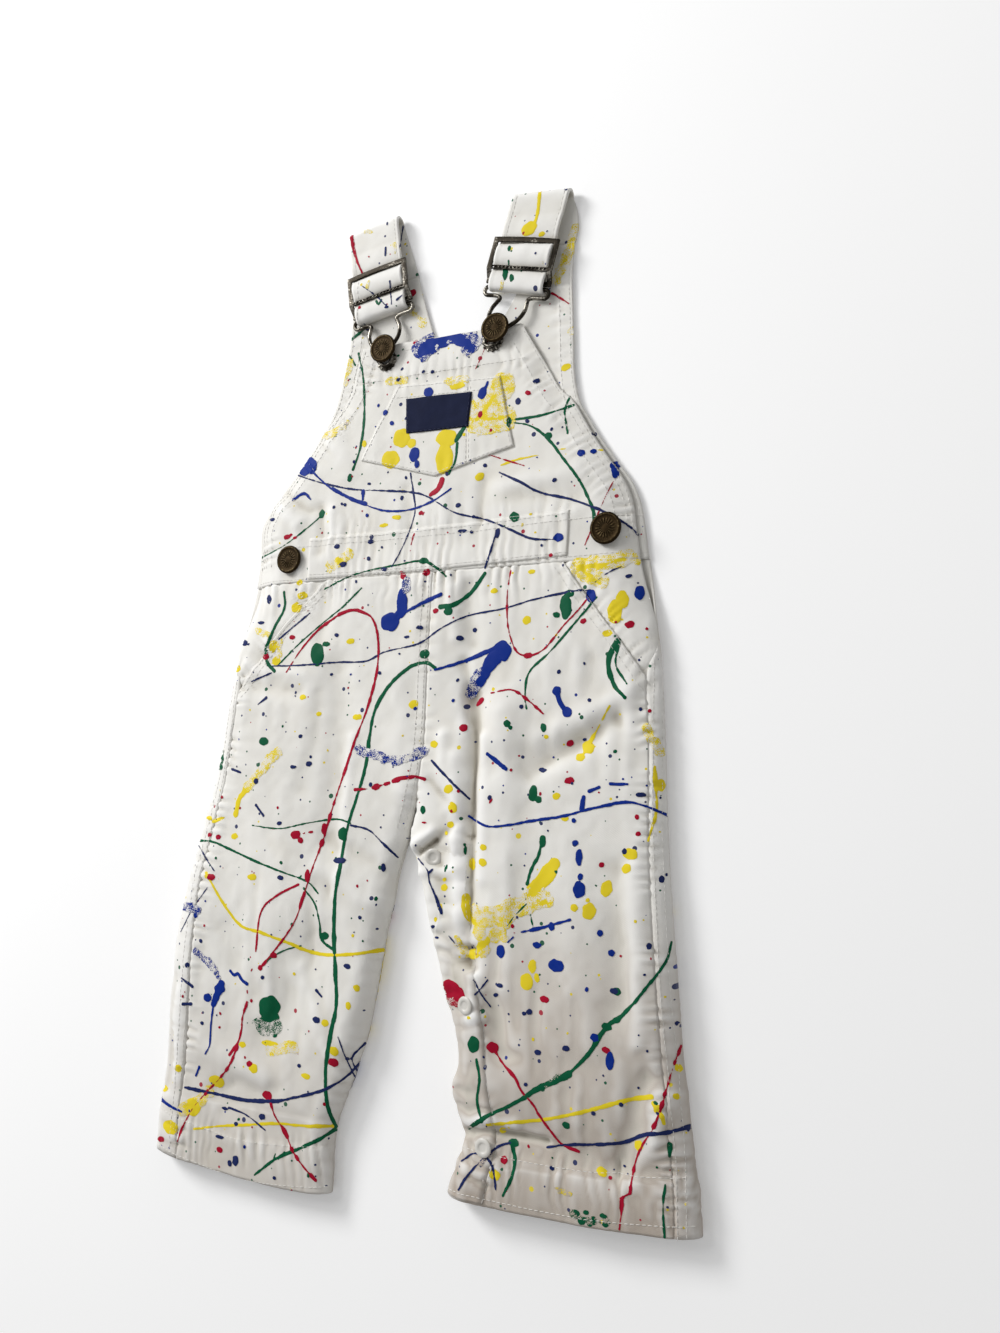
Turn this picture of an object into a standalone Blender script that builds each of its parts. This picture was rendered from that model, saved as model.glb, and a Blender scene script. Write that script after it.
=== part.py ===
"""Toddler's paint-spattered bib overalls, laid flat on their back.

Sizes are in millimetres until a mesh is made. x runs across from the centre
front seam, y runs up the length from a line below the hems, and z is the
height above the surface that the overalls lie on. Left and right are as seen
from above, with the straps at the far end.
"""
import math

import bmesh
import bpy
from mathutils import Matrix, Vector

MM = 0.001
SEAM_GAP = 0.3          # between pieces that are sewn together
OVERLAY_GAP = 0.45      # between a panel and what is laid on it
CLOTH = 1.4             # wall of the panels and the straps
OVERLAY = 1.1           # wall of what is sewn on a panel
LABEL_WALL = 0.8
SEAT_GAP = 0.45         # under the foot of a button or a snap
SIDE_HEIGHT = 5.0       # where a rolled side turns from the upper to the lower layer
FREE_EDGE = 3.5         # upper face of a front edge that lies loose on the back
CROTCH = 213.0          # y of the point where the four trouser panels meet
WAIST = 354.0           # y of the seam between trousers and bib
OPENING_START = 312.0   # y of the foot of the side openings
OPENING_TUCK = 4.0      # how far the front edge lies inside the back edge there
ARM_SEAM = 535.0        # y where the yoke's arms join the straps
ROLL_OUT = 20.0         # reach of the round shoulder along the side
ROLL_IN = 12.0          # reach of the round shoulder along the inner leg
HEM_REACH = 75.0        # how far up the curve of a hem is felt

LEFT, RIGHT = -1, 1

# Sections across each trouser half, from the hem up. outer and inner are the
# distances of the side and of the inner leg from x = 0 towards the half's own
# side, top is the height of the upper face, seam is how far in from the side
# the outseam lies.
SECTION = ("y", "outer", "inner", "top", "seam")
SECTIONS = {
    LEFT: (
        (14.5, 176.0, 52.0, 11.0, 21.0),
        (50.0, 174.5, 50.0, 14.0, 21.0),
        (80.0, 172.5, 39.5, 15.0, 22.0),
        (110.0, 172.0, 31.0, 16.0, 22.0),
        (150.0, 168.5, 24.0, 16.0, 19.0),
        (185.0, 161.5, 17.0, 15.0, 15.0),
        (213.0, 154.0, 9.65, 13.5, 12.5),
        (240.0, 147.0, 2.6, 12.5, 11.0),
        (265.0, 144.0, 0.5, 12.0, 10.0),
        (295.0, 139.5, 0.15, 11.5, 8.0),
        (312.0, 136.5, 0.15, 11.0, 0.0),
        (354.0, 129.0, 0.15, 9.8, 0.0),
    ),
    RIGHT: (
        (31.0, 151.5, 22.0, 12.0, 11.0),
        (50.0, 150.5, 27.0, 14.0, 10.0),
        (62.0, 149.0, 28.0, 14.5, 9.5),
        (82.0, 146.5, 21.0, 16.0, 9.0),
        (96.0, 145.0, 24.5, 16.5, 8.0),
        (110.0, 143.0, 22.5, 16.5, 8.0),
        (130.0, 141.0, 15.5, 16.5, 8.0),
        (165.0, 138.0, 4.0, 16.0, 8.0),
        (190.0, 136.0, -3.5, 15.0, 8.0),
        (213.0, 134.5, -9.35, 13.5, 8.0),
        (240.0, 133.5, -2.3, 12.5, 7.5),
        (265.0, 132.5, -0.2, 12.0, 7.0),
        (295.0, 130.5, 0.15, 11.5, 6.5),
        (312.0, 129.0, 0.15, 11.0, 0.0),
        (354.0, 122.0, 0.15, 9.8, 0.0),
    ),
}
CENTRE_SEAM = ((213.0, -9.5), (226.0, -5.6), (240.0, -2.4), (258.0, -0.4), (275.0, 0.0), (354.0, 0.0))
# The slanted edge of each front panel, where the hip pocket opens: y and distance from x = 0.
SLANT = {
    LEFT: ((280.0, 141.0), (290.0, 132.0), (312.0, 113.0), (326.0, 102.0), (344.0, 83.0), (354.0, 73.0)),
    RIGHT: ((280.0, 135.0), (290.0, 126.0), (309.0, 112.0), (338.0, 89.5), (354.0, 78.0)),
}
HEM_RISE = {LEFT: (2.5, 5.0), RIGHT: (0.5, 6.0)}    # of the hem, at its inner and at its outer end

FACING_FOOT = 290.0     # below it the pocket edge has run into the outseam

# The largest folds of the upper layer: a line from (x0, y0) to (x1, y1), how far
# the fold reaches to each side of it, and its height, negative in a trough.
FOLDS = (
    # x0, y0, x1, y1, reach, height
    (29.0, 285.0, 33.0, 150.0, 6.0, -5.5),
    (47.0, 275.0, 51.0, 140.0, 11.0, 3.5),
    (12.0, 195.0, 30.0, 60.0, 12.0, -4.0),
    (42.0, 248.0, 98.0, 262.0, 9.0, -2.0),
    (112.0, 195.0, 116.0, 135.0, 9.0, -2.2),
    (55.0, 66.0, 120.0, 60.0, 10.0, -2.4),
    (-60.0, 300.0, -57.0, 180.0, 11.0, -2.4),
    (-90.0, 95.0, -62.0, 150.0, 12.0, -3.0),
    (-104.0, 240.0, -98.0, 170.0, 22.0, 2.4),
    (-70.0, 42.0, -115.0, 55.0, 12.0, -1.6),
    (-40.0, 372.0, 40.0, 372.0, 9.0, -1.0),
)

# Rows of points across the panels, by y.
LEG_ROWS = (16, 30, 44, 59, 70, 82, 96, 110, 126.5, 142, 158, 174, 188, 200)
BODY_ROWS = (213, 219, 227, 238, 252, 266, 280, 293, 301, 312, 326, 340)
BIB_ROWS = (356, 368, 381, 391, 401, 412, 424, 437, 450, 461, 472, 483)
YOKE_ROWS = (372, 388, 396, 408, 422, 437, 450, 463, 472, 482, 494, 512)
FRONT_SHARES = [i / 12 for i in (0, 1.3, 2.6, 4, 4.9, 5.8, 6.7, 7.6, 8.5, 9.4, 10.3, 11.1, 12)]
BIB_SHARES = [i / 16 for i in (0, 1, 2, 3, 5, 7, 9, 11, 13, 14, 15, 16)]
PLACKET_SHARES = FRONT_SHARES[1:5]
PLACKET_Y = (40.0, 205.0)

# The bib above the waist: height of its upper face, and its two side edges.
BIB_TOP = 494.0
BIB_TOP_SLOPE = 0.03    # fall of its top edge towards the right
BIB_RISE = ((354.0, 9.8), (380.0, 9.2), (400.0, 8.4), (430.0, 7.0), (470.0, 5.0), (484.0, 4.3),
            (496.0, 3.7))
BIB_EDGE = {
    LEFT: ((354.0, 125.0), (372.0, 124.0), (390.0, 125.0), (400.0, 120.0), (410.0, 112.5), (423.0, 101.5),
           (437.0, 90.0), (450.0, 80.0), (460.0, 70.0), (470.0, 63.5), (482.0, 60.5), (498.0, 56.0)),
    RIGHT: ((354.0, 118.0), (372.0, 115.5), (385.0, 113.5), (396.0, 109.0), (408.0, 101.0), (420.0, 93.0),
            (432.0, 86.0), (443.0, 79.5), (452.0, 71.0), (472.0, 60.0), (498.0, 45.5)),
}
BIB_SHOULDER = 20.0     # reach of the round shoulder along the bib's edges

# The high back: side (armhole) edges and inner edges, the latter the centre back
# seam and, above it, the neckline.
YOKE_SIDE = {
    LEFT: ((354.0, 129.0), (372.0, 127.5), (392.0, 127.5), (405.0, 118.5), (423.0, 103.5), (437.0, 92.0),
           (453.0, 81.0), (462.0, 76.5), (473.0, 73.5), (490.0, 70.0), (505.0, 68.0), (535.0, 67.0)),
    RIGHT: ((354.0, 122.0), (375.0, 119.0), (386.0, 116.5), (396.0, 112.0), (408.0, 103.5), (420.0, 95.5),
            (432.0, 88.5), (443.0, 82.5), (460.0, 79.0), (480.0, 78.0), (500.0, 77.0), (515.0, 76.5),
            (535.0, 77.5)),
}
YOKE_INNER = {
    LEFT: ((354.0, 0.15), (463.0, 0.15), (472.0, 1.5), (482.0, 4.5), (494.0, 9.0), (512.0, 15.0),
           (535.0, 22.0)),
    RIGHT: ((354.0, 0.15), (463.0, 0.15), (472.0, 12.0), (482.0, 23.0), (494.0, 32.0), (512.0, 43.0),
            (535.0, 43.0)),
}

# Each strap lies over the shoulder, comes down the front, turns round the hook's
# bar and ends behind the slider. low and shoulder are the middles of its two
# folds, root is the middle and half width of its back end, bow is how far the
# back run strays sideways, twist is the turn of the shoulder fold in degrees,
# and hook_lean is how far the button pulls the hook inwards.
STRAP = {
    LEFT: {"low": (-43.5, 513.0), "shoulder": (-52.2, 573.0), "root": (-44.5, 22.5), "bow": 0.0,
           "twist": 0.0, "hook_lean": 0.0},
    RIGHT: {"low": (44.0, 510.5), "shoulder": (59.0, 567.5), "root": (60.25, 17.25), "bow": 2.5,
            "twist": 7.0, "hook_lean": 5.2},
}
STRAP_HALF = 17.2       # half the strap's width
FOLD_RADIUS = 3.8       # outer radius of the shoulder fold
HOOK_FOLD_RADIUS = 2.9  # outer radius of the fold round the hook's bar
STRAP_RETURN = 13.0     # length of the strap's end under the slider
WIRE_RADIUS = 1.15      # hook wire

SLIDER_HALF = 20.6      # half the slider's width
SLIDER_BAR = 2.8        # width of its side and end bars
SLIDER_PLATE = 1.3      # its sheet thickness
# Bars of the slider, by distance up the strap from its lower fold: foot, head,
# and the height of the plate's under side.
SLIDER_BARS = {"end": (4.5, 7.0, 4.45), "middle": (11.5, 14.0, 7.75), "top": (27.5, 30.5, 7.75)}
SLIDER_ROUNDING = 0.35

# The hook's route, by distance up the strap from its lower fold.
HOOK_BAR_HALF = 20.4    # half the length of the bar in the fold
HOOK_SHOULDER = -2.2    # where the wire has turned back below the fold
HOOK_NECK = 9.0         # half the space between its shoulders
HOOK_LOOP = -10.5       # middle of the loop that the button goes in through
HOOK_LOOP_RADIUS = 10.6
HOOK_SLOT_HEAD = -21.5
HOOK_SLOT = -28.0       # middle of the slot's round end
HOOK_SLOT_RADIUS = 3.9
HOOK_SLOT_HEIGHT = 6.2  # of the wire's middle there

BUTTON_RADIUS = 8.5
BUTTON_DROP = 22.0      # from the strap's lower fold down to the button's middle
WAIST_BUTTONS = {LEFT: (-98.5, 368.0), RIGHT: (101.5, 369.5)}
SNAP_RADIUS = 4.0
SNAPS = {"upper": 126.5, "lower": 59.0}
SNAP_SHARE = 0.355      # their place across the right front panel

# Profiles from the top down, radius and height: the stamped cap of a button
# above its shank, and a snap's cap with its post.
SHANK_RADIUS = 2.3
SHANK_HEIGHT = 0.5      # of a waist button, above its seat
CAP_PROFILE = ((0.0, 2.0), (5.4, 1.7), (6.2, 2.4), (7.6, 2.4), (BUTTON_RADIUS, 1.6), (BUTTON_RADIUS, 0.7),
               (7.6, 0.0), (SHANK_RADIUS, 0.0))
SNAP_PROFILE = ((0.0, 1.7), (1.4, 1.7), (1.9, 2.3), (3.2, 2.3), (SNAP_RADIUS, 1.5), (SNAP_RADIUS, 0.9),
                (1.6, 0.7), (1.6, 0.0), (0.0, 0.0))

# What is sewn on the bib, by its top and foot edges.
WAISTBAND = {"top": ((-86.0, 380.5), (0.0, 380.0), (81.0, 381.5)),
             "foot": ((-84.0, 356.0), (0.0, 355.5), (79.0, 357.5))}
BIB_POCKET = {"top": ((-31.0, 468.0), (36.0, 463.0)), "foot": ((-52.5, 424.5), (-2.0, 409.5), (46.5, 421.0))}
LABEL = {"top": ((-24.0, 458.5), (19.5, 456.0)), "foot": ((-22.0, 437.0), (18.6, 435.5))}

WHITE_CLOTH = ("white_drill", (0.80, 0.79, 0.76), 0.85, 0.0)
LABEL_CLOTH = ("navy_label", (0.02, 0.03, 0.09), 0.75, 0.0)
AGED_BRASS = ("aged_brass", (0.16, 0.12, 0.07), 0.42, 1.0)
SNAP_PLASTIC = ("snap_plastic", (0.88, 0.87, 0.84), 0.35, 0.0)


def smooth_step(low, high, value):
    """0 below low, 1 above high, and a soft rise between them."""
    share = min(1.0, max(0.0, (value - low) / (high - low)))
    return share * share * (3.0 - 2.0 * share)


def read(rows, value, column=1):
    """The smooth curve through one column of a table whose first column is y."""
    keys = [row[0] for row in rows]
    data = [row[column] for row in rows]
    value = min(max(value, keys[0]), keys[-1])
    last = len(keys) - 1
    spot = max(i for i in range(last) if keys[i] <= value)

    def slope(i):
        before, after = max(0, i - 1), min(last, i + 1)
        return (data[after] - data[before]) / (keys[after] - keys[before])

    span = keys[spot + 1] - keys[spot]
    share = (value - keys[spot]) / span
    square, cube = share ** 2, share ** 3
    return ((2 * cube - 3 * square + 1) * data[spot] + (cube - 2 * square + share) * span * slope(spot)
            + (3 * square - 2 * cube) * data[spot + 1] + (cube - square) * span * slope(spot + 1))


def read_straight(rows, value):
    """The straight lines through a table of y and one other value."""
    for (y0, value0), (y1, value1) in zip(rows, rows[1:]):
        if value <= y1:
            break
    return value0 + (value1 - value0) * (value - y0) / (y1 - y0)


def fold_height(x, y):
    """What the folds add to the upper layer at (x, y)."""
    total = 0.0
    for x0, y0, x1, y1, reach, height in FOLDS:
        run = Vector((x1 - x0, y1 - y0))
        share = (Vector((x - x0, y - y0)).dot(run)) / run.length_squared
        near = Vector((x0, y0)) + run * min(1.0, max(0.0, share))
        total += height * math.exp(-((Vector((x, y)) - near).length / reach) ** 2)
    return total


# ---------------------------------------------------------------- trousers

def section(side, y, name):
    """One value of a trouser half's section at y."""
    if name == "inner" and y >= CROTCH:
        return side * read(CENTRE_SEAM, y) + SEAM_GAP / 2
    return read(SECTIONS[side], y, SECTION.index(name))


def opening(y):
    """0 where the side is sewn and rolled, 1 where front and back lie loose."""
    return smooth_step(OPENING_START, WAIST, y)


def inner_roll(y):
    """1 where the inner leg is rolled, 0 where the halves meet flat in the centre seam."""
    return 1.0 - smooth_step(CROTCH, CROTCH + 34.0, y)


def ring(side, turn, y, upper=None):
    """The outer face of a trouser half at y, turn running round the section.

    turn 0 is the inseam or the centre front seam, 1 to 2 crosses the upper
    layer, 3 is the side, 4 to 5 crosses the lower layer and 6 is back at the
    inseam or at the centre back seam. upper says which layer the side belongs to.
    """
    if upper is None:
        upper = turn <= 3.0
    inner, outer = section(side, y, "inner"), section(side, y, "outer")
    loose, roll = opening(y), inner_roll(y)
    top = section(side, y, "top")
    front_width = outer - inner - OPENING_TUCK * loose
    side_base = SIDE_HEIGHT - (SIDE_HEIGHT - FREE_EDGE) * loose
    if upper:
        width, rise = front_width, 1.0
        if turn < 1.0:
            angle = turn * math.pi / 2
            across = ROLL_IN * (roll * (1 - math.cos(angle)) + (1 - roll) * turn)
            rise = 1.0 - roll * (1.0 - math.sin(angle))
        elif turn <= 2.0:
            across = ROLL_IN + (width - ROLL_IN - ROLL_OUT) * (turn - 1.0)
        else:
            part = 3.0 - turn
            angle = part * math.pi / 2
            across = width - ROLL_OUT * ((1 - loose) * (1 - math.cos(angle)) + loose * part)
            rise = math.sin(angle)
        x = side * (inner + across)
        base = side_base if turn > 1.5 else SIDE_HEIGHT
        z = base + (top + fold_height(x, y) - base) * rise
    else:
        width = outer - inner
        curl = (1 - loose) if turn < 4.5 else roll
        part = (turn - 3.0) if turn <= 4.0 else (6.0 - turn)
        if 4.0 < turn < 5.0:
            across = width + (turn - 4.0) * (2 * SIDE_HEIGHT - width) - SIDE_HEIGHT
            z = 0.0
        else:
            angle = part * math.pi / 2
            reach = SIDE_HEIGHT * (curl * (1 - math.cos(angle)) + (1 - curl) * part)
            across = width - reach if turn < 4.5 else reach
            z = SIDE_HEIGHT * curl * (1 - math.sin(angle))
        x = side * (inner + across)
    share = min(1.0, max(0.0, across / width))
    inner_rise, outer_rise = HEM_RISE[side]
    lift = inner_rise * (1 - share) ** 4 + outer_rise * share ** 2
    hem = SECTIONS[side][0][0]
    return Vector((x, y + lift * (1 - smooth_step(hem, hem + HEM_REACH, y)), z))


def turn_at(side, across, y):
    """The turn at which the upper layer is that far from the inner leg."""
    inner, outer = section(side, y, "inner"), section(side, y, "outer")
    low, high = 0.0, 3.0
    for _ in range(40):
        middle = (low + high) / 2
        if side * ring(side, middle, y).x - inner < across:
            low = middle
        else:
            high = middle
    return low


def half_gap(side, turn, y):
    """Half the seam gap, as a step of turn."""
    step = 0.01
    speed = (ring(side, turn, y) - ring(side, turn - step, y)).length / step
    return SEAM_GAP / 2 / max(speed, 4.0)


def seam_turn(side, y):
    """Where the outseam lies."""
    inset = section(side, y, "seam")
    width = section(side, y, "outer") - section(side, y, "inner") - OPENING_TUCK * opening(y)
    return 3.0 if inset < 0.05 else turn_at(side, width - inset, y)


def slant_turn(side, y):
    """Where the slanted pocket edge lies, or the outseam below it."""
    if y < SLANT[side][0][0]:
        return seam_turn(side, y)
    across = read(SLANT[side], y) - section(side, y, "inner")
    return min(seam_turn(side, y), turn_at(side, across, y))


def front_face(side):
    """Front panel: from the inseam or centre seam to the outseam or pocket edge."""
    def face(share, y):
        start = half_gap(side, 0.3, y) if y < CROTCH else 0.0
        end = slant_turn(side, y)
        end -= half_gap(side, end, y)
        if share < 1 / 3:
            turn = start + (1.0 - start) * 3 * share
        else:
            turn = 1.0 + (end - 1.0) * (1.5 * share - 0.5)
        return ring(side, turn, y, upper=True)
    return face


def back_face(side):
    """Back panel: from the outseam round the side and under to the inseam or centre back seam."""
    def face(share, y):
        start = seam_turn(side, y)
        loose_edge = start == 3.0
        start += half_gap(side, start, y)
        end = 6.0 - (half_gap(side, 0.3, y) if y < CROTCH else 0.0)
        knots = [start + (4.0 - start) * i / 5 for i in range(6)] + [4.33, 4.66, 5.0, 5.5, end]
        spot = min(int(share * 10.0), 9)
        part = share * 10.0 - spot
        turn = knots[spot] + (knots[spot + 1] - knots[spot]) * part
        return ring(side, turn, y, upper=turn <= 3.0 and not loose_edge)
    return face


def facing_face(side):
    """Pocket facing: from the slanted edge to the outseam or the free edge of the side opening."""
    def face(share, y):
        start = slant_turn(side, y)
        start += half_gap(side, start, y)
        end = seam_turn(side, y)
        end -= half_gap(side, end, y)
        return ring(side, start + (end - start) * share, y, upper=True)
    return face


# -------------------------------------------------------------- upper half

def bib_height(x, y):
    """Height of the bib's upper face."""
    left, right = -read(BIB_EDGE[LEFT], y), read(BIB_EDGE[RIGHT], y)
    inward = min(x - left, right - x)
    rise = math.sin(min(1.0, max(0.0, inward / BIB_SHOULDER)) * math.pi / 2)
    return FREE_EDGE + (read(BIB_RISE, y) + fold_height(x, y) - FREE_EDGE) * rise


def bib_face(share, y):
    """Bib, from its left to its right armhole edge."""
    left, right = -read(BIB_EDGE[LEFT], y), read(BIB_EDGE[RIGHT], y)
    x = left + (right - left) * share
    y -= BIB_TOP_SLOPE * (x + 5.0) * smooth_step(460.0, BIB_TOP, y)
    return Vector((x, y, bib_height(x, y)))


def raised(face, height):
    """The same face, moved out square to itself."""
    def higher(share, along):
        return face(share, along) + outward(face, share, along, 1) * height
    return higher


def quad_face(top, foot):
    """A patch of the bib between a top edge and a foot edge, each a line through a few points."""
    def on_line(points, share):
        spot = min(int(share * (len(points) - 1)), len(points) - 2)
        part = share * (len(points) - 1) - spot
        (x0, y0), (x1, y1) = points[spot], points[spot + 1]
        return Vector((x0 + (x1 - x0) * part, y0 + (y1 - y0) * part))

    def face(share, along):
        place = on_line(foot, share).lerp(on_line(top, share), along)
        return Vector((place.x, place.y, bib_height(place.x, place.y)))
    return face


def yoke_face(side):
    """Under side of a back yoke half, from the centre back or neckline out to the armhole."""
    def face(share, y):
        inner, outer = read_straight(YOKE_INNER[side], y), read(YOKE_SIDE[side], y)
        return Vector((side * (inner + (outer - inner) * share), y, 0.0))
    return face


def strap_axes(side):
    """A strap's lower fold, its direction up the front, and its direction across."""
    low, shoulder = Vector(STRAP[side]["low"]), Vector(STRAP[side]["shoulder"])
    up = (shoulder - low).normalized()
    return low, up, Vector((up.y, -up.x))


def strap_stations(side):
    """Middle, across direction, half width and outward direction along a strap."""
    low, up, across = strap_axes(side)
    shoulder = Vector(STRAP[side]["shoulder"])
    twist = math.radians(STRAP[side]["twist"])
    fold_across = Matrix.Rotation(twist, 2) @ across
    fold_up = Matrix.Rotation(twist, 2) @ up
    root_x, root_half = STRAP[side]["root"]
    top_z = 2 * FOLD_RADIUS
    stations = []
    root = Vector((root_x, ARM_SEAM + SEAM_GAP))
    turn_middle = shoulder - fold_up * FOLD_RADIUS
    for share in (0.0, 0.5, 1.0):
        plan = root.lerp(turn_middle, share) + Vector((STRAP[side]["bow"] * 4 * share * (1 - share), 0))
        direction = Vector((1.0, 0.0)).lerp(fold_across, share).normalized()
        half = root_half + (STRAP_HALF - root_half) * share
        stations.append((plan.to_3d(), direction, half, Vector((0, 0, -1))))
    for step in range(1, 6):
        angle = math.pi * step / 6
        out = fold_up * math.sin(angle)
        out = Vector((out.x, out.y, -math.cos(angle)))
        middle = turn_middle.to_3d() + Vector((0, 0, FOLD_RADIUS))
        stations.append((middle + out * FOLD_RADIUS, fold_across, STRAP_HALF, out))
    bend_middle = low + up * HOOK_FOLD_RADIUS
    for share in (0.0, 0.33, 0.66, 1.0):
        plan = turn_middle.lerp(bend_middle, share)
        direction = fold_across.lerp(across, share).normalized()
        stations.append((Vector((plan.x, plan.y, top_z)), direction, STRAP_HALF, Vector((0, 0, 1))))
    for step in range(1, 7):
        angle = math.pi * step / 6
        out = -up * math.sin(angle)
        out = Vector((out.x, out.y, math.cos(angle)))
        middle = bend_middle.to_3d() + Vector((0, 0, top_z - HOOK_FOLD_RADIUS))
        stations.append((middle + out * HOOK_FOLD_RADIUS, across, STRAP_HALF, out))
    end = bend_middle + up * STRAP_RETURN
    stations.append((Vector((end.x, end.y, top_z - 2 * HOOK_FOLD_RADIUS)), across, STRAP_HALF,
                     Vector((0, 0, -1))))
    return stations


# ------------------------------------------------------------ mesh making

def outward(face, share, along, turn_sign):
    """Unit direction square to a face."""
    step, rise = 0.004, 0.6
    dx = face(share + step, along) - face(share - step, along)
    dy = face(share, along + rise * 0.02) - face(share, along - rise * 0.02)
    return dx.cross(dy).normalized() * turn_sign


def make_object(name, body, material):
    """Turn a bmesh in millimetres into an object in metres."""
    bmesh.ops.recalc_face_normals(body, faces=body.faces)
    bmesh.ops.scale(body, vec=(MM, MM, MM), verts=body.verts)
    mesh = bpy.data.meshes.new(name)
    body.to_mesh(mesh)
    body.free()
    return add_object(name, mesh, material)


def add_object(name, data, material):
    """Link an object to the model's collection, under its origin."""
    thing = bpy.data.objects.new(name, data)
    data.materials.append(finish(*material))
    collection.objects.link(thing)
    thing.parent = origin
    return thing


def finish(name, colour, roughness, metallic):
    """A plain Principled material, made once for each finish."""
    material = bpy.data.materials.get(name)
    if material is None:
        material = bpy.data.materials.new(name)
        material.use_nodes = True
        shader = material.node_tree.nodes["Principled BSDF"]
        shader.inputs["Base Color"].default_value = (*colour, 1.0)
        shader.inputs["Roughness"].default_value = roughness
        shader.inputs["Metallic"].default_value = metallic
    return material


def skin(rows, inner_rows, name, material):
    """Close two equal grids of points into one wall."""
    body = bmesh.new()
    outer = [[body.verts.new(point) for point in row] for row in rows]
    inner = [[body.verts.new(point) for point in row] for row in inner_rows]
    last_row, last_column = len(rows) - 1, len(rows[0]) - 1
    for i in range(last_row):
        for j in range(last_column):
            body.faces.new((outer[i][j], outer[i][j + 1], outer[i + 1][j + 1], outer[i + 1][j]))
            body.faces.new((inner[i][j], inner[i + 1][j], inner[i + 1][j + 1], inner[i][j + 1]))
    for i in range(last_row):
        for j in (0, last_column):
            body.faces.new((outer[i][j], outer[i + 1][j], inner[i + 1][j], inner[i][j]))
    for j in range(last_column):
        for i in (0, last_row):
            body.faces.new((outer[i][j], inner[i][j], inner[i][j + 1], outer[i][j + 1]))
    return make_object(name, body, material)


def cloth_wall(name, face, shares, alongs, wall, turn_sign=1, material=WHITE_CLOTH):
    """A cloth panel: a face sampled in rows and columns, with its wall behind it."""
    outer, inner = [], []
    for along in alongs:
        outer.append([face(share, along) for share in shares])
        inner.append([point - outward(face, share, along, turn_sign) * wall
                      for point, share in zip(outer[-1], shares)])
    return skin(outer, inner, name, material)


def even(count, start=0.0, end=1.0):
    """Evenly spaced values, both ends included."""
    return [start + (end - start) * i / count for i in range(count + 1)]


def turned(name, profile, place, tilt, material, steps=20):
    """A body turned round its own z axis from a profile that runs from the top down."""
    mesh = bpy.data.meshes.new(name)
    points = [(radius * MM, 0.0, height * MM) for radius, height in profile]
    mesh.from_pydata(points, [(i, i + 1) for i in range(len(points) - 1)], [])
    thing = add_object(name, mesh, material)
    screw = thing.modifiers.new("Turn", "SCREW")
    screw.steps = steps
    screw.render_steps = steps
    screw.use_merge_vertices = True
    screw.merge_threshold = 0.00001
    thing.location = Vector(place) * MM
    thing.rotation_mode = "QUATERNION"
    thing.rotation_quaternion = Vector((0, 0, 1)).rotation_difference(tilt)
    return thing


# ------------------------------------------------------------------ model

for old in list(bpy.data.objects):
    bpy.data.objects.remove(old)
collection = bpy.data.collections.new("paint_spattered_overalls")
bpy.context.scene.collection.children.link(collection)
origin = bpy.data.objects.new("overalls_origin", None)
collection.objects.link(origin)

SIDES = {LEFT: "left", RIGHT: "right"}

for side, word in SIDES.items():
    hem = SECTIONS[side][0][0]
    rows = [hem + i for i in (0, 16)] + [y for y in LEG_ROWS if y > hem + 20] + list(BODY_ROWS)
    rows.append(WAIST - SEAM_GAP)
    cloth_wall("front_panel_" + word, front_face(side), FRONT_SHARES, rows, CLOTH, side)
    cloth_wall("back_panel_" + word, back_face(side), even(10), rows, CLOTH, side)
    facing_rows = [y for y in rows if y > FACING_FOOT]
    cloth_wall("pocket_facing_" + word, facing_face(side), even(5), facing_rows, CLOTH, side)
    cloth_wall("back_yoke_" + word, yoke_face(side), even(4), (WAIST + SEAM_GAP, *YOKE_ROWS, ARM_SEAM),
               CLOTH, -side)

cloth_wall("bib", bib_face, BIB_SHARES, (WAIST + SEAM_GAP, *BIB_ROWS, BIB_TOP), CLOTH)

# What is sewn on the bib is made from the bib's own face, moved out.
lift = OVERLAY_GAP + OVERLAY
cloth_wall("waistband", raised(quad_face(WAISTBAND["top"], WAISTBAND["foot"]), lift),
           even(14), even(2), OVERLAY)
pocket_face = quad_face(BIB_POCKET["top"], BIB_POCKET["foot"])
cloth_wall("bib_pocket", raised(pocket_face, lift), even(8), even(5), OVERLAY)
label_lift = lift + SEAM_GAP + LABEL_WALL
cloth_wall("bib_label", raised(quad_face(LABEL["top"], LABEL["foot"]), label_lift),
           even(5), even(2), LABEL_WALL, material=LABEL_CLOTH)

# The snap placket is laid on the right front panel along the inseam, on the
# panel's own columns and rows.
placket_face = front_face(RIGHT)
placket_rows = [y for y in rows if PLACKET_Y[0] < y < PLACKET_Y[1]]
cloth_wall("snap_placket", raised(placket_face, lift), PLACKET_SHARES, placket_rows, OVERLAY)
for word, y in SNAPS.items():
    square = outward(placket_face, SNAP_SHARE, y, 1)
    seat = placket_face(SNAP_SHARE, y) + square * (lift + SEAT_GAP)
    turned("snap_" + word, SNAP_PROFILE, seat, square, SNAP_PLASTIC, steps=16)

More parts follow.
